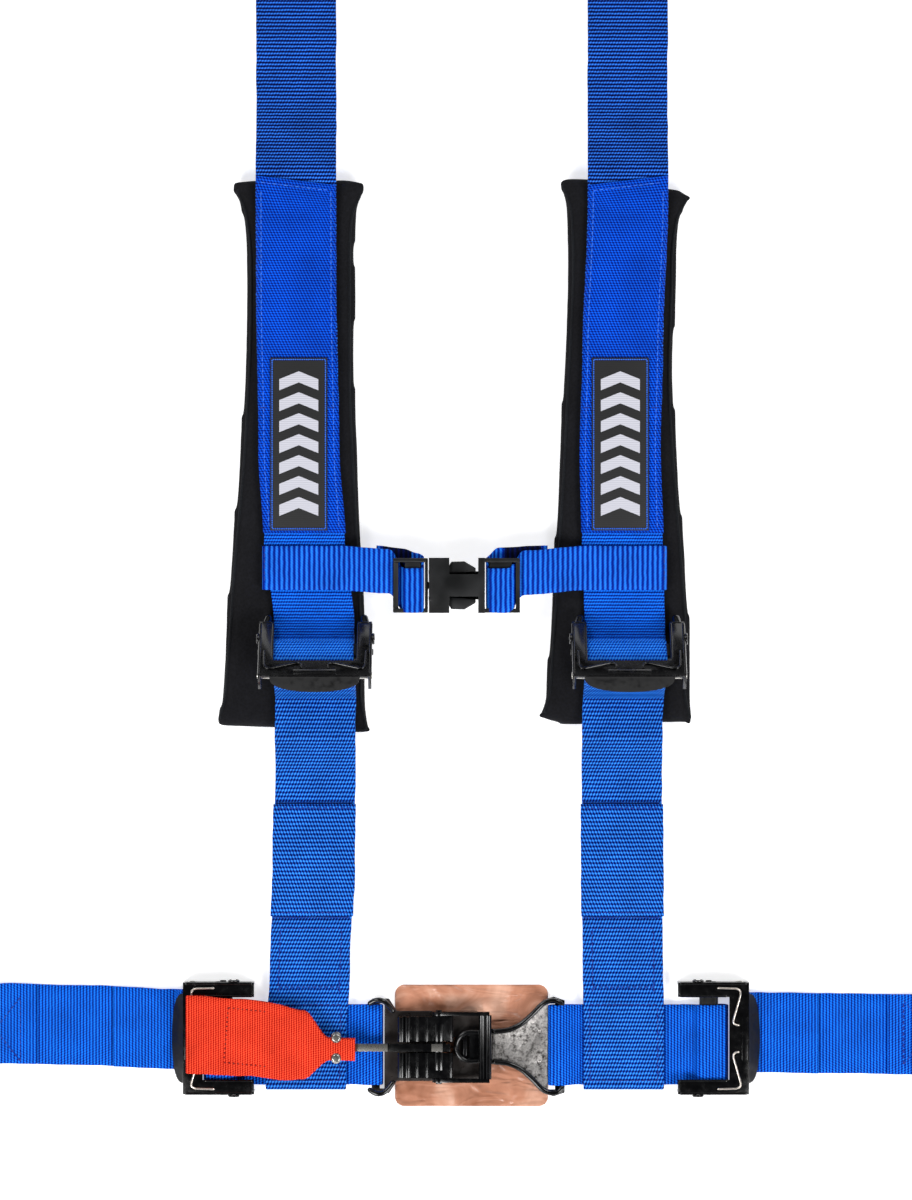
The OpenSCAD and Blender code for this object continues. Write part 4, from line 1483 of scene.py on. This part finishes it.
            faces += [
                (base + 6, base + 7, base + 10, base + 11),
                (base + 7, base + 8, base + 9, base + 10),
                (base + 5, base + 4, base + 1, base), (base + 4, base + 3, base + 2, base + 1),
            ]
            sides = ((k, (k + 1) % 6) for k in range(6))
            faces += [(base + a, base + b, base + 6 + b, base + 6 + a) for a, b in sides]
        ink = new_object(node + "_bars", verts, faces)
        ink.data.set_sharp_from_angle(angle=math.radians(30))
        placed(ink, "harness", LABEL_INK)

    def build(self) -> None:
        """Makes everything of this shoulder."""
        self.build_strap()
        self.build_pad()
        self.build_panel()
        self.build_label()
        self.build_lower()
        self.adjuster.build()
        hard(self.named("shoulder_anchor"), BLACK_STEEL, 0.5)
        middle, half = self.side.of(self.strap_x), WEB_W / 2 - 5
        left, right, low, high = middle - half, middle + half, self.reach - 60, self.reach - 26
        rows = crossed((left, low), (right, low), (left, high), (right, high))
        name = self.named("shoulder_strap") + "_stitches"
        sewn(name, rows, (self.pieces["strap"],), DARK_THREAD)


@dataclass
class SternumStrap:
    """The strap across the chest, sewn from coarse ribbed webbing, and its side-release buckle.

    Attributes:
        mid_y, wrap_y: Middle of the buckle and of the loops round the shoulder straps.
        width: Width of the webbing.
        knee: Distance from the middle at which the webbing leaves the buckle.
        bars: Distances of the inner and outer bar of each half.
        reach_x: Distances of the loops.
        buckle_z: Height of the buckle's middle.
        turn: Radius of the webbing's middle line round a bar.
        fillet_y: Distance of the fillets from the buckle's middle.
        over_rise, under_rise: How far the webbing's two layers lie above mid_y.
    """

    mid_y: float = 285.4
    wrap_y: float = 296.5
    width: float = 28.0
    knee: float = 50.0
    bars: tuple[Point, Point] = ((26.9, 35.2), (18.0, 30.5))
    reach_x: Point = (98.0, 101.0)
    buckle_z: float = OVER_Z + 2
    turn: float = 1.1 + LAY_GAP + WEB_T / 2
    fillet_y: float = 7.9
    over_rise: Knots = (
        ((36, -3.2), (46, 9.0), (80, 11.1)), ((29, -3.2), (39, 8.0), (80, 11.1)),
    )
    under_rise: Knots = (
        ((21, 3.0), (28, 6.4), (37, 9.2), (54, 11.2)), ((14, 3.0), (23, 10.0), (54, 11.2)),
    )

    def line(self, side: Side) -> list[Vector]:
        """Middle line: under the outer bar, round the webbing bar, out to the strap and back."""
        near, far = side.of(self.bars)
        middle = side.of(self.reach_x)
        z = self.buckle_z
        bend = (OVER_Z + 0.5 - UNDER_Z) / 2
        reach = WEB_W / 2 + 0.2
        under = [
            (self.knee + 4, z - 4.6), (far - 2, z - 4.5), *arc((near, z), self.turn, 228, 180, 4),
        ]
        over = [
            *arc((near, z), self.turn, 160, 90, 5), *arc((far, z), self.turn, 90, -50, 8),
            (far + 4, z - 2.55), (self.knee, z - 1.6), (middle - reach - 6, OVER_Z + 0.7),
            *arc((middle + reach, (OVER_Z + 0.5 + UNDER_Z) / 2), bend, 90, -90, 10),
            (middle - reach, UNDER_Z), (self.knee + 6, UNDER_Z + 0.4),
        ]
        line = []
        for way, knots in ((under, side.of(self.under_rise)), (over, side.of(self.over_rise))):
            for p in resampled([Vector((x, 0, h)) for x, h in way], 1.0):
                line.append(Vector((side.value * p.x, self.mid_y + between(p.x, knots), p.z)))
        return line

    def lower_cheek(self, part: bpy.types.Object) -> None:
        """Thins a half's lower cheek, so that the webbing can bulge over it."""
        start, end = 15.0, 42.0
        for vertex in part.data.vertices:
            x, y = vertex.co.x / MM, vertex.co.y / MM + Y_MID - self.mid_y
            if y < -14.4 and start < abs(x) < end:
                vertex.co.z = min(vertex.co.z, (self.buckle_z + 0.6) * MM)

    def build(self) -> None:
        """Makes both straps, the two halves of the buckle and its prongs."""
        for side in Side:
            node = f"sternum_strap_{side.word}"
            strap = Ribbon(
                node + "_webbing", self.line(side), ALONG_Y, width=self.width, rib=3.15,
                rib_depth=0.16, columns=8,
            ).build()
            # Faces of the lower layer near the buckle get the near-black copy: painted shade under
            # the buckle.
            low, knee = (self.buckle_z - 3.2) * MM, self.knee * MM
            faced(
                strap, (BLUE_RIBBED, UNDER_SHADE_WEBBING),
                lambda face: face.center.z < low and abs(face.center.x) < knee,
            )
            placed(strap, "sternum", BLUE_RIBBED, (node,))
            x = side.value * (side.of(self.reach_x) + 26.5)
            rows = [[(x, self.wrap_y - 8), (x, self.wrap_y + 14)]]
            sewn(node + "_stitches", rows, (strap,), DARK_THREAD, body="sternum")
        for word in ("socket", "plug", "prong_upper", "prong_lower"):
            node = "sternum_" + word
            part = hard(node, BUCKLE_PLASTIC, 0.7)
            self.lower_cheek(part)
        for word, off in (("upper", self.fillet_y), ("lower", -self.fillet_y)):
            z = self.buckle_z - 3.6
            path = [Vector((x, self.mid_y + off, z)) for x in (-9.0, 11.0)]
            fillet = Tube(f"sternum_socket_fillet_{word}", path, 1.1, sides=10, step=1.0).build()
            placed(fillet, "sternum", BUCKLE_PLASTIC)


@dataclass
class LapSide:
    """One half of the lap belt: inner strap, adjuster, anchor strap and anchor plate.

    Attributes:
        side: Half of the harness.
        inner_y, anchor_y: Middles of the two straps.
        reach: Where the belt turns in its anchor plate.
        loop_out: Where the strap's upper layer starts to rise to the slide bar.
        anchor_drift: How far the anchor strap lies beside its even line, by distance.
        latch, link: Distance, height and loop radius of the bars that the belt is sewn round.
    """

    side: Side
    inner_y: float = -5.5
    anchor_y: Point = (4.0, 2.0)
    reach: float = 330.0
    loop_out: float = 131.0
    anchor_drift: Knots = (
        ((180, 0), (240, 2.4), (290, 3.6), (325, 0)),
        ((180, 0), (240, -0.8), (290, -1.4), (325, 0)),
    )
    latch: tuple[float, float, float] = (53.5, 3.9, 2.95)
    link: tuple[float, float, float] = (58.4, 7.6, 3.35)

    def inner_line(self, adjuster: Adjuster) -> list[Point]:
        """From the tail at the buckle's bar, round it and over the slide bar."""
        bar, height, bend = self.latch if self.side is Side.LEFT else self.link
        start = abs(self.side.of(adjuster.lap_x))
        return [
            (bar + 46, LOW_Z + PITCH), (bar + 9, LOW_Z + PITCH),
            *((bar - (x + bar), z) for x, z in reversed(arc((-bar, height), bend, 90, -90, 12))),
            (bar + 4, height + bend), (bar + 16, LOW_Z + 2 * PITCH),
            (self.loop_out, LOW_Z + 2 * PITCH), *shifted(adjuster.over_slide(), start),
        ]

    def anchor_line(self, adjuster: Adjuster) -> list[Point]:
        """From the sewn tail, round the adjuster's rod and out to the anchor plate."""
        rod = abs(self.side.of(adjuster.lap_x)) + adjuster.rod_u
        return [
            (rod + 50, LOW_Z + PITCH), (rod + 10, LOW_Z + PITCH),
            (rod + 6, adjuster.rod_w + adjuster.rod_r - 1.2),
            *shifted(adjuster.round_rod(60, 270), rod - adjuster.rod_u),
            (rod + 6, LOW_Z), *anchor_turn(self.reach), (self.reach - 60, LOW_Z + PITCH),
        ]

    def build(self) -> None:
        """Makes the two straps, their seams, the adjuster and the anchor plate."""
        adjuster = Adjuster(self.side, False)
        line = lap_strap(self.inner_line(adjuster), self.inner_y, self.side)
        webbing(f"lap_inner_strap_{self.side.word}", line, ALONG_Y, BLUE_WEBBING)
        node = f"lap_anchor_strap_{self.side.word}"
        y = self.side.of(self.anchor_y)
        knots = self.side.of(self.anchor_drift)
        strap = webbing(
            node, lap_strap(self.anchor_line(adjuster), y, self.side), ALONG_Y, BLUE_WEBBING,
            sway=lambda p: between(abs(p.x), knots),
        )
        half, sign = WEB_W / 2 - 5, self.side.value
        near, far = sign * (self.reach - 50), sign * (self.reach - 18)
        low, high = y - half, y + half
        rows = crossed((near, low), (near, high), (far, low), (far, high))
        sewn(node + "_stitches", rows, (strap,), DARK_THREAD)
        adjuster.build()
        hard(f"lap_anchor_{self.side.word}", BLACK_STEEL, 0.5)


@dataclass
class LapBuckle:
    """The latch with its lever and keeper, the link, the red pull tab and the film behind them.

    Attributes:
        bar_x, link_bar: Where the latch's and the link's webbing bars lie.
        base_z, link_z: Lower faces of the base plate and of the link.
        plate_t: Thickness of both.
        link_half: Half the link's width.
        lever_end: Where the lever's black part ends.
        tab_z: Height of the pull tab's upper layer.
        sheet: The film's edges: left, right, lower and upper.
    """

    bar_x: float = -54.3
    base_z: float = 2.6
    plate_t: float = 2.6
    link_z: float = 6.3
    link_bar: float = 61.0
    link_half: float = 31.6
    lever_end: float = -46.0
    tab_z: float = 18.25
    sheet: tuple[float, float, float, float] = (-42.5, 54.6, -38.5, 38.5)

    def link_side(self, inset: float, side: int) -> list[Point]:
        """One long side of the link's outline, from its neck to its bar."""
        bar, half = self.link_bar, self.link_half
        return [
            (19, side * (11.2 - inset)), (29.3, side * (12.1 - inset)),
            (37.2, side * (15.6 - inset)), (44.2, side * (21.8 - inset)),
            (bar - 9.5, side * (half - 2 - inset)), (bar - 3, side * (half - inset)),
            (bar + 4 - inset, side * (half - 2.4 - inset)),
        ]

    def build_latch(self) -> None:
        """Base plate, body, hook, ears and pin."""
        hard("latch_plate", SLOT_STEEL, 0.4)
        hard("latch_body", BLACK_STEEL, 0.35)
        hard("latch_hook", BLACK_STEEL, 0.3)
        hard("lever_pin", BLACK_STEEL, 0.4)
        z = self.base_z + self.plate_t + 3.9
        ears = []
        for side in (-1, 1):
            shares = [i / 24 for i in range(25)]
            line = [
                Vector((
                    self.bar_x - 5.2 + 16.5 * k,
                    BUCKLE_Y + side * (26.5 + 5.2 * math.sin(math.radians(150 * k)) - 7.6 * k * k),
                    z + 2 * math.sin(math.pi * k),
                ))
                for k in shares
            ]
            ears.append(Tube("latch_ears", line, 1.65, sides=16, step=0.6).build())
        ears = join(ears, "latch_ears_rolled")
        placed(ears, "harness", BLACK_STEEL, ("latch_ears",))

    def build_lever(self) -> None:
        """Lever with its bright blade and two painted highlights on its top, and the keeper bail.
        """
        # Two spans of the lever's top get bright steel: painted highlights on the black coat, drawn
        # as bare steel.
        glint_spans = ((-19.3, -12.3), (-6.4, -2.4))
        edges = (self.lever_end - 1, *(x for spot in glint_spans for x in spot))
        lever = HardPart("lever", 0.7, cuts=edges).build()

        def bright(face: bpy.types.MeshPolygon) -> bool:
            x, z = face.center.x / MM, face.center.z / MM
            return x < self.lever_end - 1 or (z > 15 and any(a < x < b for a, b in glint_spans))

        faced(lever, (BLACK_STEEL, WORN_STEEL_AND_GLINT), bright)
        placed(lever, "lever_arm", WORN_STEEL_AND_GLINT, ("lever",))
        hard("keeper", BLACK_STEEL, 0.6)

    def build_link(self) -> None:
        """Link plate with its grained panel and the rolled rim round it."""
        start, end = 19.4, 54.2
        link = HardPart("link", 0.35, cuts=(start, end)).build()
        top = (self.link_z + self.plate_t + 0.35) * MM

        def grained(face: bpy.types.MeshPolygon) -> bool:
            c = face.center
            return face.normal.z > 0.4 and c.z < top and start * MM < c.x < end * MM

        faced(link, (BLACK_STEEL, GRAIN_STEEL), grained)
        placed(link, "link_plate", BLACK_STEEL, ("link",))
        z = self.link_z + self.plate_t + 0.75
        for side, word in ((1, "upper"), (-1, "lower")):
            points = self.link_side(1.7, side)
            line = [Vector((x, BUCKLE_Y + y, z)) for x, y in points]
            line.append(line[-1] + Vector((0.4, -side * 3.5, -0.8)))
            rim = Tube(f"link_rim_{word}", line, 1.75, sides=16, step=0.8, passes=14).build()
            placed(rim, "link_plate", BLACK_STEEL)
        nose = arc((5.5, BUCKLE_Y), 9.4, 75, 285, 24)
        nose = [(17, nose[0][1]), *nose, (17, nose[-1][1])]
        line = [Vector((x, y, z)) for x, y in nose]
        rim = Tube("link_rim_nose", line, 1.5, sides=16, step=0.8, passes=8).build()
        placed(rim, "link_plate", BLACK_STEEL)

    def build_tab(self) -> None:
        """The red pull tab, a folded strap gathered into a neck over the lever."""
        neck, left = -67.5, -174.0
        z = self.tab_z
        line = [
            (neck, z), (-100, z), (left + 1, z), (left - 0.2, z - 1), (left + 1, z - 1.9),
            (-104, z - 2.2), (-90, 12.6), (neck, 12.2),
        ]
        sway = ((66, -1.2), (84, -0.8), (100, 2.0), (138, 6.6), (174, 8.4))
        top = abs(left - neck)
        total = 2 * top + 6

        def half(share: float) -> float:
            x = share * total
            x = min(x, total - x)
            return between(x, ((0, 7.0), (16, 6.8), (34, 21.8), (50, 23.9), (top, 24.6)))

        points = [Vector((x, BUCKLE_Y, height)) for x, height in line]
        tab = webbing(
            "pull_tab", points, ALONG_Y, RED_WEBBING, "webbing_red", "lever_arm", width=half,
            rib=1.54, rib_depth=0.09, sway=lambda p: between(-p.x, sway), passes=8, columns=16,
        )
        rows = [[(-147.5, 19), (-150.2, -15.5)], [(-150.2, -15.5), (-124, -18)],
                [(-147.5, 19), (-124, 16.5)]]
        sewn(
            "pull_tab_stitches", rows, (tab,), RED_THREAD, "webbing_red", "lever_arm",
            stitch=1.3, gap=1.7, radius=0.42,
        )
        hard("tab_rivets", WORN_STEEL_AND_GLINT, 0.35)

    def build_sheet(self) -> None:
        """The film behind the buckle, creased and lifted at its corners."""
        x0, x1, y0, y1 = self.sheet
        columns, rows, corner = 90, 72, 6.0
        verts: list[Vector] = []
        for i in range(rows + 1):
            for j in range(columns + 1):
                x = x0 + (x1 - x0) * j / columns
                y = y0 + (y1 - y0) * i / rows
                dx = max(0.0, x0 + corner - x, x - x1 + corner)
                dy = max(0.0, y0 + corner - y, y - y1 + corner)
                far = math.hypot(dx, dy)
                if far > corner:
                    x += (far - corner) * dx / far * (1 if x < 0 else -1)
                    y += (far - corner) * dy / far * (1 if y < 0 else -1)
                fold = noise.noise(Vector((x / 17, y / 11, 0.4)))
                fold += 0.5 * noise.noise(Vector((x / 7, y / 8, 2)))
                lift = 0.9 * max(0.0, abs(y) - 22) / 16 * (1 + 0.8 * fold) + 0.35 * (1 + fold) * 0.5
                verts.append(metres(Vector((x, BUCKLE_Y + y, 0.55 + max(0.0, lift)))))
        sheet = new_object("buckle_sheet_film", verts, grid(rows, columns))
        thickened(sheet, 0.35)
        placed(sheet, "harness", TAN_FILM, ("buckle_sheet",))

    def build(self) -> None:
        """Makes the whole buckle."""
        self.build_sheet()
        self.build_latch()
        self.build_lever()
        self.build_link()
        self.build_tab()


@dataclass
class Studio:
    """White lit floor, soft light from above and a camera that looks straight down.

    Attributes:
        centre: Where the camera looks, in lap coordinates.
        view_h: Height of what the camera sees.
        lens, sensor: The camera's focal length and sensor width.
        floor: Width of the floor in metres.
        sky: Heights and colours of the world's light.
        sky_strength: Its strength.
        softboxes: Name, place and size in metres, and power in watts of each lamp.
    """

    centre: Vector = field(default_factory=lambda: Vector((-3.8, 276.2, 0)))
    view_h: float = 762.0
    lens: float = 135.0
    sensor: float = 36.0
    floor: float = 30.0
    sky: tuple[tuple[float, str], ...] = (
        (0.2, "#141516"), (0.42, "#E4E6EA"), (0.56, "#D8DADE"), (0.82, "#303134"),
    )
    sky_strength: float = 0.5
    softboxes: tuple[tuple[str, tuple[float, float, float], float, float], ...] = (
        ("front_left_softbox", (-1.1, -1.3, 1.5), 0.9, 31.0),
        ("front_right_softbox", (1.2, -1.2, 1.5), 0.9, 29.0),
        ("back_left_softbox", (-1.2, 1.2, 1.5), 0.7, 12.0),
        ("back_right_softbox", (1.1, 1.3, 1.5), 0.7, 13.0),
    )

    def area(self, name: str, place: Vector, size: float, power: float) -> None:
        """A square soft light that faces the middle of the harness."""
        light = bpy.data.lights.new(name, "AREA")
        light.shape, light.size, light.energy = "SQUARE", size, power
        obj = bpy.data.objects.new(name, light)
        obj.location = place
        obj.rotation_euler = (metres(self.centre) - place).to_track_quat("-Z", "Y").to_euler()
        bpy.context.scene.collection.objects.link(obj)

    def build(self) -> None:
        """Makes the floor, the world's light, the lamps and the camera."""
        half = self.floor / 2
        corners = [Vector((x * half, y * half, 0)) for x, y in ((-1, -1), (1, -1), (1, 1), (-1, 1))]
        floor = new_object("light_table_floor", corners, [(0, 1, 2, 3)])
        floor.data.materials.append(LIGHT_TABLE.material())
        world = bpy.data.worlds.new("studio")
        world.use_nodes = True
        bpy.context.scene.world = world
        tree = world.node_tree
        up = add_node(
            tree, "SeparateXYZ", {0: add_node(tree, "TexCoord").outputs["Generated"]}
        ).outputs["Z"]
        sky = ramp_node(tree, up, *self.sky)
        feed(tree, tree.nodes["Background"], {"Color": sky, "Strength": self.sky_strength})
        for name, place, size, power in self.softboxes:
            self.area(name, Vector(place), size, power)
        camera = bpy.data.cameras.new("overhead")
        camera.lens, camera.sensor_width = self.lens, self.sensor
        camera.clip_end = 20.0
        obj = bpy.data.objects.new("overhead", camera)
        distance = self.lens / self.sensor * self.view_h
        obj.location = metres(self.centre + UP * distance)
        bpy.context.scene.collection.objects.link(obj)
        bpy.context.scene.camera = obj
        bpy.context.scene.view_settings.view_transform = "Standard"


def main() -> None:
    """Builds the harness, sub-assembly by sub-assembly, then the studio."""
    logging.basicConfig(level=logging.INFO, format="%(name)s: %(message)s")
    for side in Side:
        ShoulderSide(side).build()
        LapSide(side).build()
    SternumStrap().build()
    LapBuckle().build()
    Studio().build()


if __name__ == "__main__":
    main()
